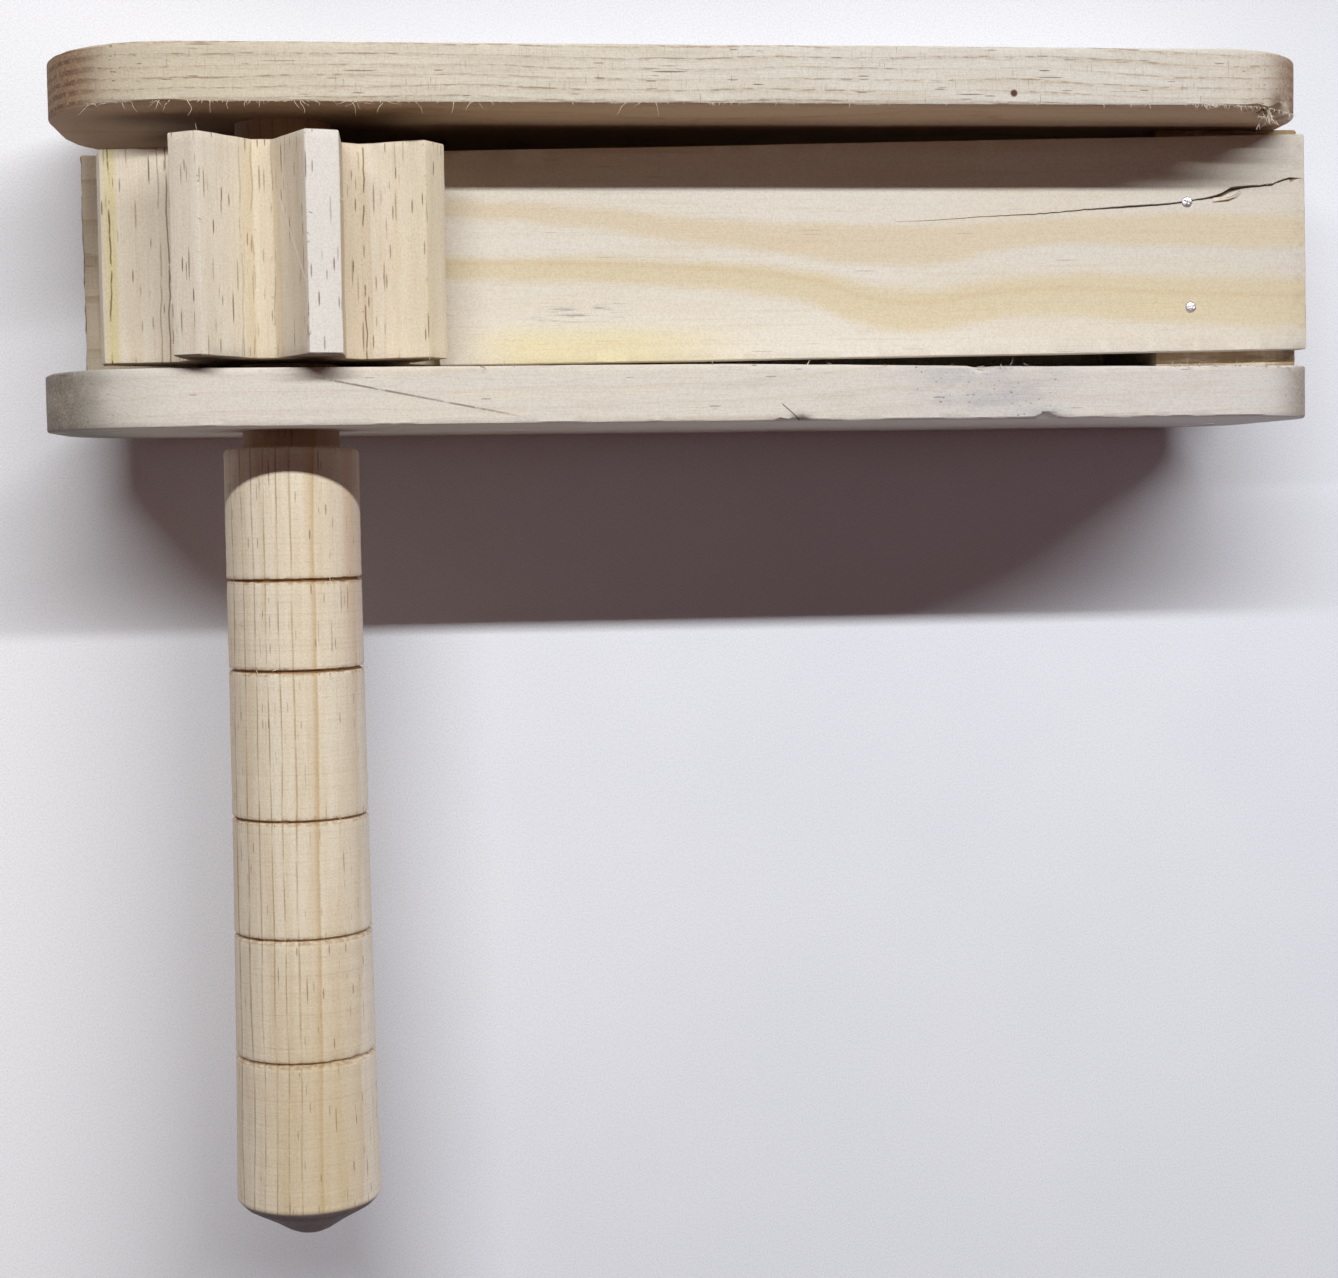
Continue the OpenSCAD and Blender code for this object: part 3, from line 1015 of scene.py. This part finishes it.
def upper_board_pine():
    """Wavy brown ring lines along the board, broken into dashes, greyer towards the block end."""
    g = Graph("upper_board_pine")
    wave = g.noise(g.stretched("x", 48.0, 16.0, 2.0), 1.0, 2.0)
    arcs = g.times(g.smooth(g.x, 90.0, 190.0), g.times(g.math("SINE", g.times(g.x, 0.045)), 1.3))
    depth = g.add(g.add(g.y, g.times(wave, 3.4)), arcs)
    depth = g.add(depth, g.times(g.z, 0.11))
    rings = ring_lines(g, g.times(depth, 1 / 1.95), 0.9)
    broken = g.smooth(g.fibre("x", 2.6, 0.5, 5.0, 4.0), 0.42, 0.6)
    faded = g.smooth(g.fibre("x", 26.0, 1.6, 7.0), 0.3, 0.6)
    lines = g.times(rings, broken, faded)
    base = g.ramp(g.straight(g.x, -43.0, 195.0), [
        (0.0, tone(206, 190, 166)), (0.25, tone(224, 213, 194)), (0.55, tone(223, 215, 203)),
        (0.85, tone(219, 212, 203)), (1.0, tone(210, 197, 182))])
    mottle = g.fibre("x", 22.0, 2.6, 1.0)
    colour = g.tint(base, g.smooth(mottle, 0.4, 0.75), 0.6, tone(206, 193, 174))
    colour = g.tint(colour, rings, 0.2, tone(184, 158, 124))
    colour = g.tint(colour, lines, 0.75, tone(140, 108, 74))
    short = g.dashes("x", 2.4, 0.28, 0.17, 3.0)
    long_ones = g.dashes("x", 7.0, 0.32, 0.1, 8.0)
    ticks = g.dashes("y", 1.7, 0.22, 0.16, 1.0)
    marks = g.most(short, long_ones)
    colour = g.tint(colour, marks, 0.75, tone(112, 82, 54))
    colour = g.tint(colour, ticks, 0.45, tone(126, 98, 70))
    cross = g.times(g.smooth(g.fibre("y", 3.0, 0.3, 4.0, 2.0), 0.55, 0.7), 0.2)
    colour = g.mix(cross, colour, tone(160, 138, 112))
    colour = pinhole(g, colour)
    # Painted shade: the inner face, which looks away from the lamp and lies in shadow, is darkened and
    # browned
    inner_face_painted_shade = g.smooth(g.split(g.normal)[1], -0.7, -0.95)
    colour = g.tint(colour, inner_face_painted_shade, 0.6, tone(202, 166, 134))
    colour = upper_ends(g, colour, wave)
    colour = cut_across(g, colour, "x", tone(112, 78, 54), tone(188, 156, 126))
    return g.finish(colour, wood_height(g, "x", lines, marks))


def lower_scratches(g, colour):
    """A long slanted scratch by the cog, and a short dark split at the outer edge."""
    streak = g.add(g.y, g.add(g.times(g.x, 0.2), 30.0))
    stretch = g.times(g.smooth(g.x, 4.0, 12.0), g.smooth(g.x, 44.0, 38.0))
    slanted = g.times(g.bump_shape(streak, 6.0, 0.05, 0.24), stretch)
    slanted = g.times(slanted, g.smooth(g.fibre("x", 2.6, 2.0, 6.0), 0.3, 0.46))
    colour = g.tint(colour, slanted, 0.8, tone(120, 104, 92))
    split = g.add(g.y, g.add(g.times(g.x, 0.886), -49.4))
    split = g.times(g.bump_shape(split, 0.0, 0.06, 0.16), g.bump_shape(g.x, 92.2, 1.5, 0.4))
    split = g.times(split, g.smooth(g.z, 62.0, 64.5))
    return g.tint(colour, split, 0.85, tone(98, 84, 78))


def lower_board_pine():
    """Smooth cream pine with grey stains at the left and middle, and pinkish grey at the block end."""
    g = Graph("lower_board_pine")
    wave = g.noise(g.stretched("x", 60.0, 18.0, 7.0), 1.0, 2.0)
    slant = g.times(g.x, -0.035)
    depth = g.add(g.add(g.y, g.times(wave, 5.0)), slant)
    rings = ring_lines(g, g.times(depth, 1 / 3.6), 0.9)
    base = g.ramp(g.straight(g.x, -45.0, 197.0), [
        (0.0, tone(205, 199, 189)), (0.12, tone(227, 217, 206)), (0.4, tone(229, 220, 209)),
        (0.7, tone(224, 216, 207)), (1.0, tone(214, 208, 205))])
    colour = g.tint(base, rings, 0.28, tone(210, 190, 166))
    mottle = g.fibre("x", 16.0, 2.2, 3.0)
    colour = g.tint(colour, g.smooth(mottle, 0.45, 0.8), 0.6, tone(212, 201, 190))
    grey_left = g.times(g.smooth(g.x, -24.0, -42.0), g.smooth(g.noise(g.place, 0.16, 3.0), 0.25, 0.55))
    colour = g.tint(colour, grey_left, 0.9, tone(146, 147, 136))
    smudge = g.smooth(g.noise(g.stretched("x", 16.0, 5.0, 4.0), 1.0, 4.0, 0.7), 0.3, 0.72)
    near_middle = g.times(g.bump_shape(g.x, 128.0, 6.0, 18.0), smudge, g.smooth(g.z, 60.0, 65.0))
    colour = g.tint(colour, near_middle, 0.7, tone(180, 177, 184))
    colour = lower_scratches(g, colour)
    pale_fibres = g.smooth(g.fibre("x", 30.0, 3.0, 9.0), 0.4, 0.7)
    pale_front = g.times(g.bump_shape(g.x, 45.0, 20.0, 30.0), pale_fibres)
    colour = g.tint(colour, pale_front, 0.35, tone(236, 222, 196))
    marks = g.dashes("x", 2.6, 0.3, 0.03, 1.0)
    left_marks = g.times(g.dashes("x", 2.2, 0.35, 0.4, 5.0), g.smooth(g.x, -22.0, -38.0))
    dots = g.times(g.dashes("x", 0.6, 0.4, 0.5, 2.0), g.smooth(near_middle, 0.2, 0.5))
    marks = g.most(g.most(marks, left_marks), dots)
    colour = g.tint(colour, marks, 0.6, tone(112, 98, 88))
    colour = cut_across(g, colour, "x", tone(138, 122, 108), tone(196, 182, 168))
    return g.finish(colour, wood_height(g, "x", rings, marks), strength=0.4)


def band(g, line, width, soft, fray):
    """A stripe of late wood that follows a line in Y, with frayed edges."""
    place = g.add(g.y, g.times(g.math("SUBTRACT", g.fibre("x", 12.0, 1.5, fray), 0.5), 2.2))
    away = g.math("ABSOLUTE", g.math("SUBTRACT", place, line))
    return g.smooth(g.math("SUBTRACT", away, width), soft, 0.0)


def leaf_figure(g, colour):
    """Two tan bands of late wood along the leaf; the upper one's mask also comes back."""
    upper_line = g.curve(g.x, 28.0, 200.0, [
        (28, 7.5), (52, 6.2), (75, 3.6), (98, 1.6), (118, 0.4), (140, 2.4), (165, 3.4), (200, 2.6)])
    upper_width = g.curve(g.x, 28.0, 200.0, [
        (28, 0.5), (60, 0.9), (90, 1.5), (118, 2.6), (145, 1.3), (175, 1.9), (200, 1.7)])
    upper = band(g, upper_line, upper_width, 2.4, 3.0)
    lower_line = g.curve(g.x, 28.0, 200.0, [
        (28, -4.0), (60, -4.4), (84, -5.6), (100, -7.6), (110, -10.6), (120, -12.0), (132, -10.6),
        (148, -9.4), (170, -10.2), (200, -11.0)])
    lower_width = g.curve(g.x, 28.0, 200.0, [
        (28, 0.7), (70, 1.0), (95, 1.5), (115, 2.7), (135, 2.4), (165, 3.2), (200, 3.4)])
    lower = band(g, lower_line, lower_width, 2.8, 6.0)
    colour = g.tint(colour, upper, 0.7, tone(214, 195, 164))
    colour = g.tint(colour, lower, 0.72, tone(213, 195, 158))
    edge_of = g.bump_shape(g.math("SUBTRACT", g.y, lower_line), 1.4, 0.15, 0.7)
    return g.tint(colour, edge_of, 0.28, tone(204, 178, 138)), upper


def leaf_stains(g, colour):
    """A yellow corner by the cog and a grey streak beside it."""
    corner = g.times(g.smooth(g.y, -12.5, -18.0), g.smooth(g.x, 28.0, 46.0), g.smooth(g.x, 96.0, 62.0))
    colour = g.tint(colour, corner, 0.55, tone(222, 207, 150))
    lean = g.add(g.y, g.times(g.x, -0.12))
    streak = g.times(g.bump_shape(g.x, 55.0, 4.0, 8.0), g.bump_shape(lean, -19.0, 1.0, 1.6))
    streak = g.times(streak, g.smooth(g.fibre("x", 7.0, 0.45, 4.0), 0.5, 0.66))
    return g.tint(colour, streak, 0.8, tone(150, 150, 152))


def crack_floor_shade(g, colour):
    """Painted shade: the crack's floor is darkened brown."""
    near_crack = g.times(g.bump_shape(g.y, 9.8, 4.6, 1.0), g.smooth(g.x, 112.0, 116.0))
    near_crack = g.times(near_crack, g.smooth(g.z, 41.0, 41.6))
    # Painted shade down in the crack's recess
    sunk = g.times(g.smooth(g.z, 43.84, 43.45), near_crack)
    return g.tint(colour, sunk, 0.75, tone(104, 74, 50))


def leaf_pine():
    """Flat-sawn cream pine: two tan figure bands, a yellow corner, a grey streak and sparse dashes."""
    g = Graph("leaf_pine")
    pale = g.ramp(g.straight(g.x, 28.0, 198.0), [
        (0.0, tone(223, 215, 204)), (0.45, tone(223, 215, 204)), (1.0, tone(214, 206, 196))])
    soft = g.fibre("x", 46.0, 5.0, 2.0)
    colour = g.tint(pale, g.smooth(soft, 0.4, 0.75), 0.55, tone(218, 205, 184))
    colour, upper = leaf_figure(g, colour)
    colour = leaf_stains(g, colour)
    fine = g.fibre("x", 30.0, 0.7, 8.0)
    colour = g.tint(colour, g.smooth(fine, 0.5, 0.8), 0.3, tone(198, 182, 158))
    marks = g.dashes("x", 5.0, 0.2, 0.035, 6.0)
    colour = g.tint(colour, marks, 0.45, tone(158, 126, 92))
    worn = g.times(g.smooth(g.x, 193.0, 198.5), g.smooth(g.noise(g.place, 0.5, 3.0), 0.4, 0.7))
    colour = g.tint(colour, worn, 0.25, tone(176, 150, 120))
    colour = crack_floor_shade(g, colour)
    colour = cut_across(g, colour, "x", tone(146, 116, 82), tone(206, 180, 146))
    return g.finish(colour, wood_height(g, "x", upper, marks), strength=0.35)


def sawn_pine():
    """Rough-sawn grey-brown pine for the back slat and the end block."""
    g = Graph("sawn_pine")
    wave = g.noise(g.stretched("x", 30.0, 9.0), 1.0, 2.0)
    depth = g.add(g.add(g.z, g.times(g.y, 0.32)), g.times(wave, 4.0))
    rings = ring_lines(g, g.times(depth, 1 / 2.6))
    colour = g.mix(g.fibre("x", 14.0, 1.2, 4.0), tone(212, 196, 172), tone(226, 211, 190))
    colour = g.tint(colour, rings, 0.5, tone(176, 144, 104))
    marks = g.dashes("x", 3.0, 0.3, 0.08, 2.0)
    colour = g.tint(colour, marks, 0.6, tone(120, 92, 66))
    saw = g.smooth(g.noise(g.stretched("y", 30.0, 0.9, 2.0), 1.0, 2.0), 0.35, 0.7)
    colour = g.tint(colour, saw, 0.25, tone(168, 148, 124))
    on_block = g.times(g.smooth(g.x, 167.0, 169.0), g.smooth(g.z, 34.0, 38.0))
    patchy = g.smooth(g.noise(g.stretched("x", 9.0, 1.4, 5.0), 1.0, 3.0), 0.3, 0.6)
    colour = g.tint(colour, g.times(on_block, patchy), 0.7, tone(150, 118, 76))
    colour = cut_across(g, colour, "x", tone(122, 104, 84), tone(186, 168, 146))
    height = g.add(wood_height(g, "x", rings, marks), g.times(saw, 0.5))
    return g.finish(colour, height, strength=0.7, depth=0.4 * MM)


def high_side(g):
    """1 in front of the axle, where the front teeth are."""
    return g.smooth(g.z, 62.0, 64.0)


def cog_patches(g, colour):
    """Each tooth's own tone, from the valleys and flanks to the pale tips and the yellow stripe."""
    colour = g.tint(colour, g.bump_shape(g.x, -3.0, 2.0, 2.4), 0.32, tone(226, 206, 168))
    colour = g.tint(colour, g.bump_shape(g.x, 13.2, 1.3, 1.2), 0.3, tone(218, 194, 156))
    colour = g.tint(colour, g.smooth(g.x, 17.0, 24.0), 0.4, tone(228, 212, 178))
    high = g.smooth(g.z, 70.5, 72.5)
    tip = g.times(high, g.bump_shape(g.x, 8.6, 2.7, 0.6))
    colour = g.tint(colour, tip, 0.8, tone(232, 227, 222))
    grey_tip = g.bump_shape(g.x, -16.2, 2.6, 0.8)
    colour = g.tint(colour, grey_tip, 0.4, tone(230, 215, 200))
    stripe = g.bump_shape(g.x, -31.0, 0.5, 1.1)
    return g.tint(colour, stripe, 0.6, tone(214, 198, 132))


# Dark lines along the cog: place in mm across it, and how strong each is
COG_SPLITS = [(-20.6, 0.9), (-22.1, 0.55), (-4.5, 0.4), (-6.4, 0.3), (15.2, 0.95), (-0.9, 0.45)]


def cog_lines(g):
    """Where the thin dark lines are, wavering and broken."""
    swing = g.math("SUBTRACT", g.noise(g.stretched("y", 9.0, 30.0, 6.0), 1.0, 2.0), 0.5)
    waver = g.add(g.x, g.times(swing, 1.4))
    resin = g.smooth(g.fibre("y", 6.0, 30.0, 3.0), 0.36, 0.46)
    dark_line = g.times(g.bump_shape(waver, -31.2, 0.04, 0.2), resin)
    for place, strength in COG_SPLITS:
        split = g.times(g.bump_shape(waver, place, 0.04, 0.17), strength)
        dark_line = g.most(dark_line, split)
    return g.times(dark_line, g.smooth(g.fibre("y", 8.0, 5.0, 9.0), 0.42, 0.5))


def cog_pine():
    """Pine whose grain runs along the axle, with dashes, stripes and resin lines tooth by tooth."""
    g = Graph("cog_pine")
    wave = g.noise(g.stretched("y", 60.0, 12.0, 3.0), 1.0, 2.0)
    depth = g.add(g.add(g.x, g.times(g.z, 0.35)), g.times(wave, 2.4))
    rings = ring_lines(g, g.times(depth, 1 / 6.3), 0.88)
    broad = g.smooth(g.fibre("y", 30.0, 3.0, 2.0), 0.3, 0.75)
    colour = g.mix(broad, tone(234, 223, 206), tone(226, 212, 192))
    colour = g.tint(colour, rings, 0.22, tone(210, 184, 142))
    fine = g.smooth(g.fibre("y", 24.0, 0.5, 5.0), 0.5, 0.8)
    colour = g.tint(colour, fine, 0.4, tone(200, 178, 150))
    colour = cog_patches(g, colour)
    colour = g.tint(colour, cog_lines(g), 0.85, tone(112, 80, 50))
    short = g.dashes("y", 3.0, 0.34, 0.32, 4.0)
    long_ones = g.dashes("y", 6.5, 0.4, 0.3, 7.0)
    marks = g.most(short, long_ones)
    colour = g.tint(colour, marks, 0.85, tone(122, 90, 60))
    scratch = g.add(g.x, g.times(g.y, 0.3))
    scratched = g.times(g.bump_shape(scratch, 2.6, 0.05, 0.18), g.bump_shape(g.x, 3.0, 2.2, 0.5))
    scratched = g.times(scratched, high_side(g))
    colour = g.tint(colour, scratched, 0.7, tone(244, 236, 224))
    colour = cut_across(g, colour, "y", tone(96, 66, 44), tone(170, 132, 96))
    return g.finish(colour, wood_height(g, "y", rings, marks), strength=0.5)


SHOULDER_MM = SHOULDER_Y / MM
GRIP_END_MM = (SHOULDER_Y - GRIP_LEN) / MM

# Growth rings across the handle: place in mm, and how many rings there are up to it
HANDLE_RINGS = [(-14.5, -0.6), (-11.1, 0.93), (-8.8, 1.93), (-6.5, 2.93), (-4.0, 3.93), (-1.6, 4.93),
                (0.95, 5.93), (4.9, 6.93), (11.4, 7.93), (14.5, 8.7)]


def handle_stripes(g):
    """Ring stripes, thin and broken at the left, broad and soft at the right, with painted light on the right
    side; the rings come back too.
    """
    drift = g.times(g.math("SUBTRACT", g.noise(g.stretched("y", 55.0, 12.0, 5.0), 1.0, 2.0), 0.5), 2.2)
    side = g.add(g.x, g.add(drift, g.times(g.y, -0.006)))
    side = g.add(side, g.times(g.math("SUBTRACT", g.z, 52.0), 0.06))
    rings = ring_lines(g, g.curve(side, -14.5, 14.5, HANDLE_RINGS), 0.93)
    broad = g.smooth(g.x, -1.0, 3.0)
    broken = g.smooth(g.fibre("y", 9.0, 0.6, 2.0), 0.36, 0.58)
    thin = g.times(g.smooth(rings, 0.4, 0.95), g.math("MULTIPLY_ADD", broken, 0.85, 0.15))
    soft = g.smooth(g.fibre("y", 40.0, 2.4, 1.0), 0.35, 0.7)
    colour = g.mix(soft, tone(240, 226, 204), tone(231, 213, 186))
    colour = g.tint(colour, g.times(rings, broad), 0.8, tone(208, 176, 130))
    colour = g.tint(colour, g.times(thin, g.less(broad)), 0.7, tone(156, 122, 82))
    orange = g.times(g.bump_shape(g.x, 11.2, 0.6, 1.5), g.smooth(g.y, -95.0, -55.0))
    colour = g.tint(colour, orange, 0.6, tone(206, 152, 96))
    # Painted light: the grip's right side, towards the lamp, is lightened
    colour = g.tint(colour, g.smooth(g.x, 6.0, 12.0), 0.45, tone(244, 235, 224))
    yellowed = g.times(g.smooth(g.y, -110.0, -170.0), g.bump_shape(g.x, 2.0, 5.0, 6.0))
    return g.tint(colour, yellowed, 0.45, tone(204, 178, 132)), rings


def handle_grooves(g, colour):
    """Brown wood in the saw grooves and a scorched rim along them."""
    from_axle = g.join(g.x, 0.0, g.math("SUBTRACT", g.z, AXLE.z / MM))
    across = g.filled("ShaderNodeVectorMath", {0: from_axle}, operation="LENGTH")
    sunk = g.smooth(across.outputs["Value"], GRIP_R / MM - 0.1, GRIP_R / MM - 0.75)
    below_shoulder = g.smooth(g.y, SHOULDER_MM - 1.5, SHOULDER_MM - 3.0)
    on_grip = g.times(below_shoulder, g.smooth(g.y, GRIP_END_MM - 0.4, GRIP_END_MM + 1.0))
    colour = g.tint(colour, g.times(sunk, on_grip), 0.9, tone(150, 106, 58))
    scorched = None
    for groove in GROOVES:
        here = g.bump_shape(g.y, SHOULDER_MM - groove / MM, 0.5, 0.55)
        scorched = here if scorched is None else g.most(scorched, here)
    uneven = g.smooth(g.noise(g.place, 0.9, 3.0), 0.35, 0.65)
    return g.tint(colour, g.times(scorched, uneven), 0.5, tone(164, 122, 70))


def handle_ends(g, colour, rings):
    """The grey tip, the axle darkened as painted shade, and the end grain at its upper end."""
    tip = g.smooth(g.y, GRIP_END_MM + 0.3, GRIP_END_MM - 0.7)
    tip_colour = g.mix(g.noise(g.place, 0.8, 4.0), tone(104, 90, 90), tone(158, 142, 138))
    colour = g.mix(tip, colour, tip_colour)
    # Painted shade: the bare axle, in shadow between the boards, is darkened
    shaded_shaft = g.smooth(g.y, SHOULDER_MM - 0.2, SHOULDER_MM + 0.6)
    colour = g.tint(colour, shaded_shaft, 0.7, tone(172, 130, 88))
    top = g.smooth(g.y, HANDLE_HIGH.y / MM - 0.5, HANDLE_HIGH.y / MM - 0.1)
    pores = g.smooth(g.noise(g.place, 2.4, 4.0), 0.4, 0.62)
    dark = g.add(g.times(rings, 0.6), g.times(pores, 0.3))
    return g.tint(colour, top, 0.85, g.mix(dark, tone(206, 180, 148), tone(132, 96, 64)))


def handle_pine():
    """Turned pine: ring stripes along the grip, lathe rings, burnt saw grooves and a grey tip."""
    g = Graph("handle_pine")
    colour, rings = handle_stripes(g)
    fine = g.smooth(g.fibre("y", 18.0, 0.45, 7.0), 0.52, 0.8)
    colour = g.tint(colour, fine, 0.25, tone(196, 170, 138))
    marks = g.most(g.dashes("y", 2.4, 0.3, 0.2, 3.0), g.dashes("y", 6.0, 0.3, 0.16, 9.0))
    colour = g.tint(colour, marks, 0.7, tone(132, 98, 64))
    lathe = g.noise(g.join(0.0, g.times(g.y, 1.9), 0.0), 1.0, 4.0, 0.7)
    colour = g.tint(colour, g.smooth(lathe, 0.48, 0.72), 0.2, tone(176, 148, 114))
    scratches = g.smooth(g.noise(g.stretched("y", 0.3, 5.0, 6.0), 1.0, 3.0), 0.62, 0.74)
    colour = g.tint(colour, scratches, 0.2, tone(158, 126, 90))
    colour = handle_grooves(g, colour)
    colour = handle_ends(g, colour, rings)
    height = g.add(wood_height(g, "y", rings, marks), g.times(lathe, 0.45))
    return g.finish(colour, height, roughness=0.68, strength=0.45)


def steel():
    """Bright drawn steel with hammer marks and a trace of rust."""
    g = Graph("nail_steel")
    spots = g.smooth(g.noise(g.place, 1.6, 4.0), 0.45, 0.75)
    colour = g.mix(g.times(spots, 0.6), tone(222, 214, 220), tone(128, 108, 100))
    g.shader.inputs["Metallic"].default_value = 0.85
    rough = g.math("MULTIPLY_ADD", spots, 0.3, 0.3)
    return g.finish(colour, g.noise(g.place, 2.4, 3.0), roughness=rough, strength=0.5, depth=0.1 * MM)


def fibre_white():
    """Loose pale fibres."""
    g = Graph("loose_fibre")
    colour = g.mix(g.noise(g.place, 1.3, 3.0), tone(238, 230, 220), tone(206, 186, 160))
    return g.finish(colour, g.noise(g.place, 6.0, 2.0), roughness=0.85, strength=0.2, depth=0.05 * MM)


FLOOR_PALE = tone(242, 243, 250)
FLOOR_GREY = tone(238, 239, 247)
FLOOR_LEFT_PAINTED_LIGHT = tone(251, 250, 254)        # painted light: the floor paler beyond the cog end, where the lamp lights it too little
FLOOR_FAR_PAINTED_SHADE = tone(222, 222, 228)         # painted shade: the floor darker beyond the object, where its lit side throws light on the floor


def floor_white():
    """Matt lavender-white board with a very faint unevenness, darkened beyond the object as painted shade and
    paled beyond the cog end as painted light.
    """
    g = Graph("floor_white")
    cloud = g.noise(g.place, 0.012, 3.0)
    colour = g.mix(g.smooth(cloud, 0.3, 0.7), FLOOR_PALE, FLOOR_GREY)
    # Painted shade: the floor darkens beyond the object
    colour = g.mix(g.smooth(g.y, 10.0, 90.0), colour, FLOOR_FAR_PAINTED_SHADE)
    # Painted light: the floor pales beyond the cog end
    colour = g.mix(g.smooth(g.x, 10.0, -70.0), colour, FLOOR_LEFT_PAINTED_LIGHT)
    return g.finish(colour, g.noise(g.place, 1.5, 3.0), roughness=0.75, strength=0.08, depth=0.05 * MM)


# ---------------------------------------------------------------- floor, light and camera
def floor():
    """A flat square, 4 m wide, on the resting plane."""
    half = 2.0
    steps = 8
    span = [half * (2 * k / steps - 1) for k in range(steps + 1)]
    points = [(x, y, 0) for y in span for x in span]
    row = steps + 1
    faces = [(r * row + c, r * row + c + 1, (r + 1) * row + c + 1, (r + 1) * row + c)
             for r in range(steps) for c in range(steps)]
    made = finish_mesh("floor", points, faces)
    if made.data.polygons[0].normal.z < 0:
        made.data.flip_normals()
    paint(made, floor_white())


LIGHT_HEIGHT_ANGLE = math.radians(61)
LIGHT_AWAY = 1.30                       # metres from its aim, a place on the floor at LIGHT_X
LIGHT_X = 0.30
LIGHT_LONG = 1.85
LIGHT_THIN = 0.04
LIGHT_POWER = 23.3                      # watts
LIGHT_COLOUR = (0.96, 1.0, 1.0)
FILL_COLOUR = (1.0, 0.54, 0.56, 1.0)
FILL_STRENGTH = 0.075


def light():
    """A long thin lamp above the object's far side, and a weak warm fill from all round."""
    lamp = bpy.data.lights.new("strip", "AREA")
    lamp.shape = "RECTANGLE"
    lamp.size = LIGHT_LONG
    lamp.size_y = LIGHT_THIN
    lamp.energy = LIGHT_POWER
    lamp.color = LIGHT_COLOUR
    holder = bpy.data.objects.new("strip", lamp)
    aim = Vector((LIGHT_X, 0, 0))
    towards = Vector((0, math.cos(LIGHT_HEIGHT_ANGLE), math.sin(LIGHT_HEIGHT_ANGLE)))
    holder.location = aim + towards * LIGHT_AWAY
    holder.rotation_euler = (LIGHT_HEIGHT_ANGLE - math.pi / 2, 0, 0)
    bpy.context.scene.collection.objects.link(holder)
    world = bpy.data.worlds.new("fill")
    world.use_nodes = True
    background = world.node_tree.nodes["Background"]
    background.inputs["Color"].default_value = FILL_COLOUR
    background.inputs["Strength"].default_value = FILL_STRENGTH
    bpy.context.scene.world = world


CAMERA_PLACE = Vector((0.02678, -0.04824, 0.46691))
CAMERA_AIM = Vector((0.07178, -0.07508, 0.040))
CAMERA_ROLL = math.radians(-0.827)
CAMERA_LENS = 59.35


def camera():
    """A view nearly straight down on the part's front edges."""
    data = bpy.data.cameras.new("camera")
    data.lens = CAMERA_LENS
    data.sensor_width = 36
    data.clip_start = 0.01
    holder = bpy.data.objects.new("camera", data)
    back = (CAMERA_PLACE - CAMERA_AIM).normalized()
    up = (Vector((0, 1, 0)) - back * back.y).normalized()
    right = up.cross(back)
    turned = Matrix((right, up, back)).transposed() @ Matrix.Rotation(CAMERA_ROLL, 3, "Z")
    holder.matrix_world = Matrix.Translation(CAMERA_PLACE) @ turned.to_4x4()
    bpy.context.scene.collection.objects.link(holder)
    bpy.context.scene.camera = holder


# ---------------------------------------------------------------- putting it together
def paint(made, material):
    """Gives a piece its material."""
    made.data.materials.clear()
    made.data.materials.append(material)


def main():
    bpy.context.scene.view_settings.view_transform = "Standard"
    camera()
    light()
    floor()
    sawn_wood = sawn_pine()
    paint(upper_board(), upper_board_pine())
    paint(lower_board(), lower_board_pine())
    slat = square_cut(SLAT_LOW, SLAT_HIGH, "back_slat_wood", "back_slat", 61, 0.16 * MM)
    paint(slat, sawn_wood)
    block = square_cut(BLOCK_LOW, BLOCK_HIGH, "end_block_wood", "end_block", 62, 0.14 * MM)
    paint(block, sawn_wood)
    paint(leaf(), leaf_pine())
    paint(cog(), cog_pine())
    paint(handle(), handle_pine())
    loose = fibre_white()
    for made in (board_fuzz(), lower_fuzz(), cog_fuzz(), handle_fuzz(), crack_splinter()):
        paint(made, loose)
    bright = steel()
    for seed, node in enumerate(sorted(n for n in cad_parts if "nail" in n)):
        paint(nail(node, seed + 1), bright)


main()
